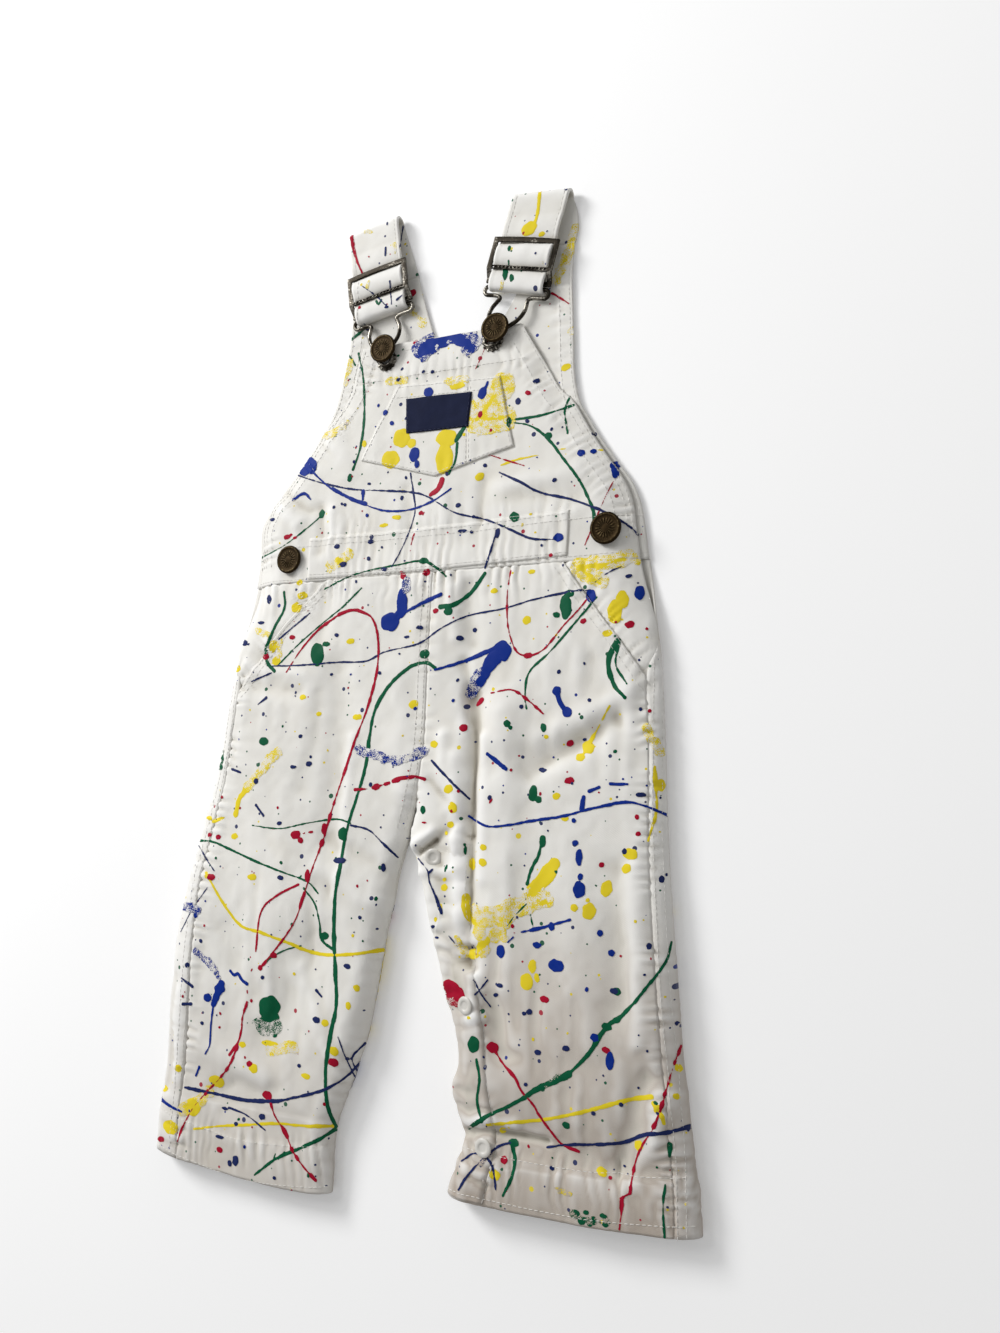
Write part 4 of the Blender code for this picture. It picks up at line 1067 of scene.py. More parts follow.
def spots_of(piece):
    """A piece's points in millimetres from the cloth's own zero."""
    spots = np.empty(len(piece.data.vertices) * 3)
    piece.data.vertices.foreach_get("co", spots)
    return spots.reshape(-1, 3) / MM - ORIGIN


def closed(body, mesh):
    """Turn a body's faces outwards and write it to its mesh."""
    bmesh.ops.recalc_face_normals(body, faces=body.faces)
    body.to_mesh(mesh)
    body.free()
    return mesh


SLIDER_HALF = 20.6
SLIDER_BAR = 2.8
SLIDER_PLATE = 1.4
SLIDER_EDGE = 0.42      # rounding of the plate's edges
SLIDER_BOW = 0.5
TEETH = 15
# Lines across the plate, up the strap, and their heights. Cells between the
# first two, the third and fourth, and so on are metal, and those between the
# fourth and fifth only where a tooth ties them.
SLIDER_LINES = ((4.5, 4.5), (7, 4.5), (11.6, 7.75), (12.15, 7.8), (13.15, 7.8), (13.7, 7.75), (27.6, 7.7),
                (30.4, 7.7))
for side, word in WORDS.items():
    low, up, across = strap_axes(side)
    edge = SLIDER_HALF - SLIDER_BAR
    pitch = 2 * edge / TEETH
    columns = [-SLIDER_HALF, -edge]
    for tooth in range(TEETH):
        columns += [-edge + pitch * (tooth + 0.2), -edge + pitch * (tooth + 0.8)]
    columns += [edge, SLIDER_HALF]
    body = bmesh.new()
    grid = {}
    for i, (line, height) in enumerate(SLIDER_LINES):
        for j, column in enumerate(columns):
            bow = SLIDER_BOW * (column / SLIDER_HALF) ** 2 if i > 5 else 0.0
            for layer in (0, 1):
                plan = low + across * column + up * (line - bow)
                grid[i, j, layer] = body.verts.new((*plan, height + layer * SLIDER_PLATE))
    last = len(columns) - 2
    cells = set()
    for i in range(len(SLIDER_LINES) - 1):
        for j in range(len(columns) - 1):
            rim = j in (0, last) or i in (0, 2, 4, 6)
            tie = i == 3 and j % 2 == 1
            if rim or tie:
                cells.add((i, j))
    for i, j in cells:
        for layer in (0, 1):
            corners = [grid[i + a, j + b, layer] for a, b in ((0, 0), (0, 1), (1, 1), (1, 0))]
            body.faces.new(corners if layer else corners[::-1])
        for (di, dj), ends in {(-1, 0): ((0, 0), (0, 1)), (1, 0): ((1, 1), (1, 0)),
                               (0, -1): ((1, 0), (0, 0)), (0, 1): ((0, 1), (1, 1))}.items():
            if (i + di, j + dj) not in cells:
                (a, b), (c, d) = ends
                body.faces.new((grid[i + a, j + b, 0], grid[i + c, j + d, 0],
                                grid[i + c, j + d, 1], grid[i + a, j + b, 1]))
    bmesh.ops.delete(body, geom=[vertex for vertex in body.verts if not vertex.link_faces], context="VERTS")
    piece = link("slider_frame_" + word, closed(body, bpy.data.meshes.new("slider")), PEWTER)
    rounding = piece.modifiers.new("Edges", "BEVEL")
    rounding.width = SLIDER_EDGE * MM
    rounding.segments = 3
    rounding.limit_method = "ANGLE"
    rounding.angle_limit = math.radians(35)
    rounding.use_clamp_overlap = True
    apply_modifiers(piece)
    spots = spots_of(piece)
    facing = np.empty(len(spots) * 3)
    piece.data.vertices.foreach_get("normal", facing)
    rubbed = facing[2::3] * (facing[2::3] < 0.96) * (spots[:, 2] > 5.0)
    wear(piece, 0.18 + 0.55 * rubbed + 0.42 * noise(spots[:, 0] / 4.0, spots[:, 1] / 4.0, 220 + side))
    declare(piece, "slider_" + word)


# -------------------------------------------------------------------- hooks
# Brass wire bent through the strap's fold, opened into a loop that passes over
# the button, and closed into a slot with a crimped lip that holds its shank.
WIRE_RADIUS = 1.15
HOOK_BAR_HALF = 20.4
HOOK_SHOULDER = -2.2
HOOK_NECK = 9.0
HOOK_LOOP = -10.5
HOOK_LOOP_RADIUS = 10.6
HOOK_SLOT_HEAD = -21.5
HOOK_SLOT = -28.0
HOOK_SLOT_RADIUS = 3.9
HOOK_SLOT_HEIGHT = 6.2
BUTTON_DROP = 22.0      # from the strap's lower fold to its button's middle
LIP_RINGS = (3.4, 4.3, 5.2, 6.1, 6.5)
LIP_WIDTH = LIP_RINGS[-1] - LIP_RINGS[0]


def spline(before, here, after, beyond, steps):
    """Points between here and after on the smooth curve through four rows of points."""
    share = np.linspace(0.0, 1.0, steps, endpoint=False)[None, :, None]
    before, here, after, beyond = (row[:, None] for row in (before, here, after, beyond))
    square = (2 * before - 5 * here + 4 * after - beyond) * share ** 2
    cube = (3 * here - before - 3 * after + beyond) * share ** 3
    return (0.5 * (2 * here + (after - before) * share + square + cube)).reshape(-1, here.shape[-1])


def closed_curve(points, count):
    """Even steps along a smooth closed curve through a few points."""
    points = np.array(points)
    dense = spline(*(np.roll(points, step, 0) for step in (1, 0, -1, -2)), 24)
    dense = np.concatenate([dense, dense[:1]])
    run = run_of(dense)
    return at_steps(dense, run, np.linspace(0.0, run[-1], count, endpoint=False))


def tube(route, radius, steps=12):
    """Points and faces of a closed tube round a closed route."""
    along = unit(np.roll(route, -1, 0) - np.roll(route, 1, 0))
    sideways = unit(np.cross(along, (0.0, 0.0, 1.0)))
    above = np.cross(sideways, along)
    angle = np.linspace(0.0, 2 * math.pi, steps, endpoint=False)
    ring_points = (route[:, None] + sideways[:, None] * np.cos(angle)[None, :, None] * radius
                   + above[:, None] * np.sin(angle)[None, :, None] * radius)
    index = np.arange(len(route) * steps).reshape(len(route), steps)
    beside, ahead = np.roll(index, -1, 1), np.roll(index, -1, 0)
    quads = np.stack([index, ahead, np.roll(ahead, -1, 1), beside], -1).reshape(-1, 4)
    return ring_points.reshape(-1, 3), quads


def hook_height(s):
    """Height of the wire's middle, by distance up the strap from its fold."""
    bar = 2 * FOLD_RADIUS - HOOK_FOLD_RADIUS
    return bar + (HOOK_SLOT_HEIGHT - bar) * smooth_step(0.0, -HOOK_SLOT, -s)


def bend(middle, radius, first, last, count):
    """Points of a bend of the wire, from one angle to another, measured from up the strap."""
    return [(middle[0] + radius * math.sin(angle), middle[1] + radius * math.cos(angle))
            for angle in np.linspace(first, last, count)]


for side, word in WORDS.items():
    low, up, across = strap_axes(side)
    corner = (HOOK_FOLD_RADIUS - HOOK_SHOULDER) / 2
    half_route = [(0.0, HOOK_FOLD_RADIUS), (HOOK_NECK, HOOK_FOLD_RADIUS)]
    half_route += bend((HOOK_BAR_HALF - corner, HOOK_FOLD_RADIUS - corner), corner, 0.0, math.pi, 7)
    half_route += [(HOOK_NECK + 3.0, HOOK_SHOULDER), (HOOK_NECK, HOOK_SHOULDER - 1.2)]
    half_route += bend((0.0, HOOK_LOOP), HOOK_LOOP_RADIUS, math.radians(64), math.radians(138), 5)
    half_route += [(HOOK_SLOT_RADIUS + 0.2, HOOK_SLOT_HEAD),
                   (HOOK_SLOT_RADIUS, (HOOK_SLOT_HEAD + HOOK_SLOT) / 2)]
    half_route += bend((0.0, HOOK_SLOT), HOOK_SLOT_RADIUS, math.pi / 2, math.pi, 4)
    route = closed_curve(half_route + [(-x, s) for x, s in reversed(half_route[1:-1])], 220)
    lean = STRAP[side]["hook_lean"] * np.minimum(0.0, route[:, 1] - HOOK_SHOULDER)
    lean = lean / (BUTTON_DROP + HOOK_SHOULDER)
    plan = low + across * (route[:, :1] + lean[:, None]) + up * route[:, 1:]
    spots, quads = tube(np.column_stack([plan, hook_height(route[:, 1])]), WIRE_RADIUS)

    # The crimped lip: a rippled ring of sheet round the slot's closed end.
    angle = np.linspace(math.radians(-205), math.radians(25), 73)
    angle, reach = np.meshgrid(angle, LIP_RINGS, indexing="ij")
    ripple = np.sin(angle * 13.0)
    reach = reach + 0.35 * ripple * (reach - LIP_RINGS[0]) / LIP_WIDTH
    height = (HOOK_SLOT_HEIGHT - 0.2 + 0.45 * ripple * (reach - LIP_RINGS[0]) / LIP_WIDTH
              - 0.25 * (reach - LIP_RINGS[0]))
    lean = -STRAP[side]["hook_lean"] * (BUTTON_DROP + 6.0) / BUTTON_DROP
    plan = low + across * (reach * np.cos(angle) + lean)[..., None]
    plan = plan + up * (HOOK_SLOT + reach * np.sin(angle))[..., None]
    top = np.concatenate([plan, height[..., None]], -1)
    lip = np.stack([top, top - (0.0, 0.0, 0.5)])
    index = np.arange(lip[..., 0].size).reshape(lip.shape[:3]) + len(spots)
    upper, lower = index
    sheets = [quads_of(upper), quads_of(lower.T)]
    for a, b in ((upper[:, 0], lower[:, 0]), (lower[:, -1], upper[:, -1]), (lower[0], upper[0]),
                 (upper[-1], lower[-1])):
        sheets.append(np.stack([a[:-1], a[1:], b[1:], b[:-1]], -1))
    mesh = bpy.data.meshes.new("hook")
    corners = np.concatenate([quads, *sheets])
    mesh.from_pydata(np.concatenate([spots, lip.reshape(-1, 3)]), [], corners.tolist())
    body = bmesh.new()
    body.from_mesh(mesh)
    piece = link("hook_wire_" + word, closed(body, mesh), PEWTER)
    spots = spots_of(piece)
    wear(piece, 0.42 + 0.50 * noise(spots[:, 0] / 4.0, spots[:, 1] / 4.0, 230 + side))
    declare(piece, "hook_" + word)


# ------------------------------------------------------- buttons and snaps
# Stamped brass caps on shanks: a rolled rim round a sunk face with a plain
# pattern of rays. The snaps are moulded in white plastic, each with a raised ring.
SHANK = 2.3             # radius of a button's shank
CAP_PROFILE = (
    (0, 2.15), (0.8, 2.13), (1.6, 2.06), (2.4, 2), (3.2, 1.95), (4, 1.95), (4.9, 1.9), (5.7, 1.84),
    (6.1, 1.86), (6.5, 1.98), (6.8, 2.14), (7.1, 2.26), (7.4, 2.28), (7.8, 2.18), (8.1, 2), (8.35, 1.74),
    (8.5, 1.3), (8.45, 0.9), (8.2, 0.45), (7.7, 0.1), (7, 0), (SHANK, 0),
)
SNAP_PROFILE = (
    (0, 0.55), (1.7, 0.5), (2.1, 0.6), (2.4, 0.84), (2.8, 1), (3.3, 1.02), (3.9, 0.92), (4.4, 0.7),
    (4.65, 0.4), (4.6, 0.15), (4.3, 0), (1.6, -0.05), (1.6, -0.4), (0, -0.4),
)


def turned(profile, place, square, steps, relief=None):
    """A body turned round a direction from a profile that runs from the top down."""
    radius = np.array([row[0] for row in profile])
    height = np.array([row[1] for row in profile])
    angle = np.linspace(0.0, 2 * math.pi, steps, endpoint=False)
    lift = height[:, None] + (relief(radius[:, None], angle[None]) if relief else 0.0)
    lift = np.broadcast_to(lift, (len(radius), steps))
    square = np.array(square) / np.linalg.norm(square)
    first = np.cross((0.0, 1.0, 0.0), square)
    first /= np.linalg.norm(first)
    second = np.cross(square, first)
    rim = first * np.cos(angle)[:, None] + second * np.sin(angle)[:, None]
    spots = np.array(place) + rim[None] * radius[:, None, None] + square * lift[..., None]
    index = np.arange(len(radius) * steps).reshape(len(radius), steps)
    quads = np.stack([index[:-1], index[1:], np.roll(index[1:], -1, 1), np.roll(index[:-1], -1, 1)], -1)
    mesh = bpy.data.meshes.new("turned")
    mesh.from_pydata(spots.reshape(-1, 3), [], quads.reshape(-1, 4).tolist())
    body = bmesh.new()
    body.from_mesh(mesh)
    bmesh.ops.remove_doubles(body, verts=body.verts, dist=0.001)
    return closed(body, mesh)


def rays(radius, angle):
    """Relief of a button's face: rays, a beaded ring and a small boss."""
    face = smooth_step(1.8, 2.4, radius) * smooth_step(5.3, 4.7, radius)
    beads = np.exp(-((radius - 6.0) / 0.3) ** 2)
    return face * 0.16 * np.cos(angle * 18.0) + beads * 0.12 * (0.5 + 0.5 * np.cos(angle * 36.0))


def button(name, node, place, seat_depth):
    """One cap with its shank, worn along its rim and on its rays."""
    fine = []
    for (r0, h0), (r1, h1) in zip(CAP_PROFILE, CAP_PROFILE[1:]):
        fine += [(r0, h0), ((r0 + r1) / 2, (h0 + h1) / 2)] if r0 < 6.5 and h0 > 1.0 else [(r0, h0)]
    profile = fine + [CAP_PROFILE[-1], (SHANK, -seat_depth), (0.0, -seat_depth)]
    mesh = turned(profile, place, (0.0, 0.0, 1.0), 144, rays)
    piece = link(name, mesh, BRONZE)
    spots = spots_of(piece) - np.array(place)
    radius = np.hypot(spots[:, 0], spots[:, 1])
    relief = rays(radius, np.arctan2(spots[:, 1], spots[:, 0]))
    worn = 0.42 * np.exp(-((radius - 7.3) / 0.5) ** 2) * (spots[:, 2] > 1.8)
    worn += 0.40 * (radius < 5.4) * smooth_step(-0.05, 0.12, relief)
    wear(piece, worn + 0.05)
    declare(piece, node)


WAIST_BUTTONS = {LEFT: (-98.5, 368.0), RIGHT: (101.5, 369.5)}
SUNK = 0.5              # how far a waist button's shank goes into the cloth
for side, word in WORDS.items():
    low, up, across = strap_axes(side)
    centre = low - up * BUTTON_DROP - across * STRAP[side]["hook_lean"]
    seat = float(bib_height(*centre)) + 0.45
    cap = HOOK_SLOT_HEIGHT + WIRE_RADIUS + 0.3
    button("bib_button_cap_" + word, "bib_button_" + word, (*centre, cap), cap - seat)
    x, y = WAIST_BUTTONS[side]
    seat = float(bib_height(x, y)) + 0.45 + SUNK
    button("waist_button_cap_" + word, "waist_button_" + word, (x, y, seat), SUNK)

plastic = Finish("white_snap_plastic", 0.32)
tone = plastic.noise(220.0, 2.0)
plastic.colour(plastic.mix(tone, (0.62, 0.60, 0.55, 1.0), (0.72, 0.70, 0.655, 1.0)))
plastic.rough(tone * 0.25 + 0.22)
SNAPS = {"upper": 126.5, "lower": 59.0, "crotch": 198.9}
SNAP_SHARE = 0.0325     # place of the leg's snaps across its front
CROTCH_SNAP = 8.0       # how far the crotch snap lies over the middle
SNAP_LIFT = 1.7         # height of the leg's snaps over its plain face
CROTCH_LIFT = 0.75      # and of the crotch snap over its creased one
for word, height in SNAPS.items():
    y = np.array([height])
    turn = 1.0 + (float(slant_turn(RIGHT, y)[0]) - 1.0) * SNAP_SHARE
    if word == "crotch":
        turn = float(turn_at(RIGHT, CROTCH_SNAP - section(RIGHT, y, "inner"), y)[0])
    spot, side_spot, above = (ring(RIGHT, turn + step, height + rise, True)
                              for step, rise in ((0, 0), (0.01, 0), (0, 0.5)))
    square = np.cross(side_spot - spot, above - spot)
    square /= np.linalg.norm(square)
    lift = SNAP_LIFT if word != "crotch" else CROTCH_LIFT + float(trouser_relief(spot[0], spot[1]))
    mesh = turned(SNAP_PROFILE, spot + square * lift, square, 48)
    piece = link("snap_cap_" + word, mesh, plastic.material)
    if word == "crotch":
        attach(piece, "root")
    else:
        declare(piece, "snap_" + word)


# -------------------------------------------------------------------- paint
# Five fabric paints, flicked, dripped and dabbed on the sewn overalls: thin
# films with rounded edges, which run over seams from panel to panel.

# Trails by their manner: half the width at the start and at the end, and then
# x and y of each point.
TRAILS = {
    "blue": {
        "even": (
            (0.75, 0.9, -93, 427, -85, 419, -72, 409, -55, 401, -38, 394, -20, 392.5, -5, 396, 7, 402),
            (1.5, 1.8, -74, 411, -62, 404, -50, 399), (4.4, 3.8, -29, 328, -25, 331, -22, 334),
            (1.7, 1.2, -52, 407, -52, 402), (1.2, 1.7, -20, 333, -8, 338, 0, 341, 3, 342),
            (0.9, 1.9, 1, 300, 15, 303, 28, 307, 38, 311), (2, 2, 74, 287, 76, 281, 80, 276),
            (6, 5.6, 38, 306, 34, 301, 29, 293), (1.3, 1.5, 35, 254, 46, 246.5),
            (0.95, 1, 25, 221, 31, 218, 37, 216, 47, 217, 62, 220, 79, 223, 93, 227, 111, 231, 121, 230,
             135, 225), (1.2, 1.4, 93, 236, 98, 238), (1, 1, 104, 240, 113, 240),
            (1.3, 1, -180, 47, -170, 43, -160, 41),
            (1.3, 1.3, -130, 125, -127, 123, -124, 124, -121, 121, -117, 119),
            (0.8, 0.8, -141, 106, -142, 93, -142, 82, -145, 76), (1.4, 0.9, -103, 407, -95, 410, -90, 406),
            (1.1, 0.7, 28, 461, 26, 456), (1.2, 0.9, -149, 68, -151, 63),
        ),
        "rough": (
            (3.4, 3.4, -16, 490, -8, 493, 4, 493.5, 14, 491),
            (4.6, 5.2, -15, 487, -8, 490, 2, 491.5, 10, 490, 15, 486),
            (3.6, 3, -14, 489, -10, 486, -7, 486), (3, 3.6, 12, 490, 15, 486, 17, 483),
            (1.7, 1.5, 89, 227, 90, 233), (2.6, 2, -136, 117, -139, 110, -141, 105),
        ),
        "broken": (
            (1.2, 1, 50, 158, 56, 163, 66, 166, 75, 169, 84, 172),
        ),
    },
    "navy": {
        "even": (
            (0.7, 1.6, 74, 62, 84, 65, 100, 68, 113, 71, 123, 76, 134, 79, 146, 84),
            (1.4, 1.5, -159, 55, -139, 55, -112, 55, -90, 58),
            (1.2, 0.8, -90, 58, -69, 65, -57, 70, -44, 79, -33, 91),
            (0.6, 0.8, -52, 98, -47, 89, -40, 79, -37, 76), (0.6, 0.7, -160, 196, -154, 189, -147, 182),
            (0.5, 0.4, -151, 172, -162, 158, -170, 144),
            (0.7, 0.7, -100, 422, -90, 418, -78, 414, -60, 409, -40, 406, -20, 403, -8, 399, 10, 388, 30,
             382, 45, 375, 58, 369, 72, 367.5),
            (0.9, 0.8, 37, 408, 50, 401, 62, 394, 78, 389, 90, 384, 100, 379, 112, 371, 117, 366),
            (0.8, 0.9, 1, 250, 10, 242, 17, 236, 25, 230),
            (0.9, 0.8, -50, 213, -38, 211, -28, 204, -18, 197), (0.7, 0.8, 31, 137, 36, 130, 41, 125),
            (0.7, 0.7, 32, 130, 35, 133, 39, 138), (0.7, 1.2, -167, 117, -158, 113),
            (1.4, 1.2, -165, 102, -158, 103), (0.7, 0.7, -127, 296, -118, 299, -112, 301),
            (0.7, 0.7, -112, 305, -90, 305, -65, 306, -45, 306, -32, 311, -10, 315, 4, 323, 20, 329, 42,
             332, 60, 336, 82, 339, 92, 339), (0.8, 0.7, -138, 243, -131, 241),
            (1.5, 0.9, -118, 222, -112, 216), (0.9, 1.2, -121, 282, -115, 286),
            (0.8, 0.6, -86, 336, -98, 328, -108, 321),
            (0.6, 0.6, -20, 414, -17, 400, -16, 390, -20, 378, -25, 368, -30, 360),
            (1.2, 0.8, -68, 121, -64, 118), (0.7, 0.7, -34, 97, -42, 88, -37, 80),
            (1, 0.7, 30, 355, 33, 364, 36, 374), (0.8, 0.9, 26, 33, 31, 41, 41, 52, 48, 58, 55, 61),
            (0.7, 0.7, 27, 47, 34, 52, 41, 52), (0.9, 0.8, 41, 52, 45, 47, 47, 37),
            (0.5, 1.2, -5, 197, 1, 191, 2.5, 185, 7, 177, 10.5, 169.5), (0.6, 0.5, 15.5, 158, 21, 153),
            (0.7, 0.5, -40, 535, -38, 520), (0.7, 0.5, -32, 568, -34, 555),
            (0.6, 0.6, -60, 536, -50, 528, -42, 520), (0.7, 0.6, 94, 343, 102, 348, 108, 350),
            (0.7, 0.6, -98, 41, -112, 47, -125, 49),
        ),
        "rough": (
            (0.7, 0.9, -44, 557, -44, 552), (0.9, 0.6, -34.5, 522, -31, 524),
        ),
    },
    "green": {
        "even": (
            (0.8, 0.6, 38.7, 531, 39, 528.3),
            (0.9, 1.3, -60, 493, -56, 478, -54, 460, -54, 445, -56, 432, -60, 421),
            (0.8, 1.4, 42, 436, 55, 432, 65, 424, 75, 411, 85, 397, 92, 382, 93, 375),
            (0.9, 1, 42, 437, 60, 437, 80, 440), (0.9, 0.8, 78, 445, 75, 438, 77, 425),
            (1.6, 2.2, 16, 439, 9, 430), (1.8, 1.4, 10, 428, 9, 418, 5, 411),
            (0.8, 0.8, -129, 371, -110, 378, -95, 386, -84, 393, -80, 397),
            (0.65, 0.8, -76, 350, -60, 356, -45, 359, -25, 361, -10, 362, 0, 357, 6, 352),
            (1.2, 1.6, -106, 350, -105, 340, -112, 328, -117, 316, -116, 308, -110, 302),
            (0.7, 0.7, -50, 349, -62, 339, -80, 327, -95, 316, -108, 305),
            (1.5, 2.3, 30, 352, 22, 342, 12, 336, 3, 335),
            (1.5, 1.7, 1, 301, -5, 304, -15, 302, -28, 292, -37, 278, -40, 262, -42, 245, -47, 228, -52,
             212, -55, 195, -58, 175, -58, 155, -56, 135, -54, 115, -57, 98, -59, 80, -57, 62, -50, 50),
            (1.5, 1.1, -50, 50, -62, 42, -75, 35, -90, 27, -104, 16),
            (0.9, 0.8, 95, 335, 85, 324, 70, 308, 58, 297, 56, 285, 57, 278),
            (2.3, 1.2, 107, 312, 102, 302, 105, 290, 111, 283), (0.8, 0.7, 108, 312, 106, 300, 112, 290),
            (1, 1.4, 68, 212, 66, 203, 62, 195, 60, 188), (1.3, 1.4, 62, 84, 53, 78, 42, 72, 31, 64),
            (0.9, 0.9, -163, 199, -150, 199, -135, 195, -115, 189, -95, 184, -78, 180, -70, 174),
            (1, 1.2, 34, 98, 36, 88, 35, 78, 38, 68), (1.5, 1.1, 55, 61, 57, 54, 56, 46, 51, 35),
            (1.4, 0.8, 136, 74, 136, 69), (0.8, 1, 134, 56, 133, 46, 134, 33), (0.5, 0.3, -88, 27, -84, 32),
            (0.5, 0.3, -92, 25, -90, 30), (0.5, 0.3, -84, 30, -80, 34),
            (0.8, 1.1, -80, 176, -72, 168, -68, 158, -66, 149, -58, 144),
            (1.7, 0.9, 60, 178, 53, 171, 48, 164), (0.6, 0.6, 61, 177, 64, 166),
            (1.6, 1, -67, 502, -55, 509), (0.9, 0.7, -69, 496, -62, 486),
            (0.8, 0.7, -107, 130, -100, 136, -90, 141, -80, 144),
            (0.6, 0.6, -120, 210, -100, 209, -80, 213, -60, 216, -50, 214),
        ),
        "rough": (
            (0.9, 0.9, -49, 524, -47.3, 521.5, -45.5, 524),
            (0.6, 1.1, 136, 166, 134, 158, 129, 150, 125, 145, 118, 136, 110, 127),
            (1.4, 1.2, 110, 127, 105, 124, 100, 117, 95, 109, 85, 98),
            (1.9, 1.4, 85, 98, 78, 94, 69, 89, 62, 84),
        ),
    },
    "red": {
        "even": (
            (2.6, 1.6, 1, 408, -1, 403, -6, 400),
            (0.9, 1.15, -52, 336, -42, 331, -37, 318, -37, 300, -42, 280, -50, 260, -55, 245),
            (1, 1.4, -119, 94, -121, 86, -127, 78), (0.9, 0.9, -84, 178, -100, 170, -110, 160, -112, 138),
            (0.6, 0.5, 28, 487, 24, 478, 20, 470), (0.6, 0.5, 30, 419, 42, 414, 52, 410),
            (0.4, 0.4, 106, 400, 100, 390, 94, 377, 88, 363), (1, 0.7, 66, 506, 76, 498),
            (2.1, 0.7, -70, 573, -67, 560, -63, 550, -59, 542),
        ),
        "rough": (
            (1.5, 1.2, -65, 334, -58, 336, -52, 336), (1.5, 1, -18, 240, -9, 241, -3, 240),
        ),
        "beaded": (
            (1, 1.1, -55, 245, -62, 225, -68, 205, -75, 187, -80, 172, -84, 160, -90, 150, -100, 138, -107,
             130), (1.2, 0.9, -122, 82, -126, 73, -133, 64, -143, 54, -152, 44, -159, 32, -162, 24),
            (0.6, 1, 46, 354, 44, 340, 45, 322, 50, 309, 57, 306, 66, 309, 76, 320, 86, 330, 92, 337),
            (0.7, 1.2, 36, 286.5, 48, 288, 57, 283, 67, 275),
            (1.2, 1.1, 44, 104, 50, 97, 56, 92, 60, 86, 66, 81, 70, 76, 77, 69, 82, 65, 91, 63),
            (0.8, 1, 141, 119, 137, 108, 132, 91, 128, 80, 123, 72, 120, 65, 118, 56, 117, 49),
            (1, 1, 117, 49, 113, 46, 113, 42, 112, 32),
            (1.1, 1.1, -97, 60, -92, 50, -84, 42, -78, 33, -70, 26, -62, 21),
        ),
        "broken": (
            (0.55, 0.95, -101, 301, -92, 313, -80, 325, -65, 334),
        ),
        "dotted": (
            (1.1, 1.2, -107, 130, -113, 129, -117, 119, -116, 110, -119, 100, -119, 91, -122, 82),
            (1.3, 1.2, 28, 280, 32, 284, 38, 287), (1.1, 1.4, -48, 233, -38, 234, -27, 237, -18, 240),
            (1.2, 0.9, -88, 206, -72, 209, -58, 212), (1, 0.8, -10, 390, -14, 382, -17, 375, -18, 368),
        ),
    },
    "yellow": {
        "even": (
            (1.2, 1.5, -153, 180, -140, 165, -125, 152, -110, 149, -90, 145, -70, 141, -50, 142, -25, 147),
            (1, 1.4, -150, 33, -130, 38, -110, 42, -90, 46, -70, 48, -52, 51),
            (1.6, 1.6, 57, 567, 56, 555, 54, 548),
        ),
        "rough": (
            (4.6, 3.6, 75, 199, 70, 192, 63, 184), (3.6, 1.6, 25, 178, 25, 173, 28, 168, 34, 164),
            (2.6, 3.4, 38, 158, 33, 152, 30, 150), (2.2, 3, 66, 178, 70, 180),
            (2.4, 3, 36, 457, 30, 449, 22, 440), (3, 2.4, 24, 441, 33, 439, 42, 440),
            (3.2, 2.2, 86, 351, 97, 352, 110, 354), (3, 2, 87, 350, 93, 345, 97, 342),
            (1.4, 2.2, -121, 238, -128, 229, -131, 225, -133, 216),
            (0.8, 1.3, 41, 67, 57, 71, 73, 75, 91, 81, 106, 87, 116, 91, 127, 94),
            (1.5, 0.8, 128, 91, 132, 86, 133, 83),
        ),
        "broken": (
            (1, 0.8, 38, 412, 48, 414, 61, 415), (1, 0.9, 68, 417, 80, 416, 97, 413),
            (1.5, 1.5, -150, 211, -141, 214), (1.2, 1.4, 88, 252, 96, 266, 103, 279),
            (1.2, 1.6, 127, 262, 127, 245, 128, 228, 124, 213),
        ),
    },
}
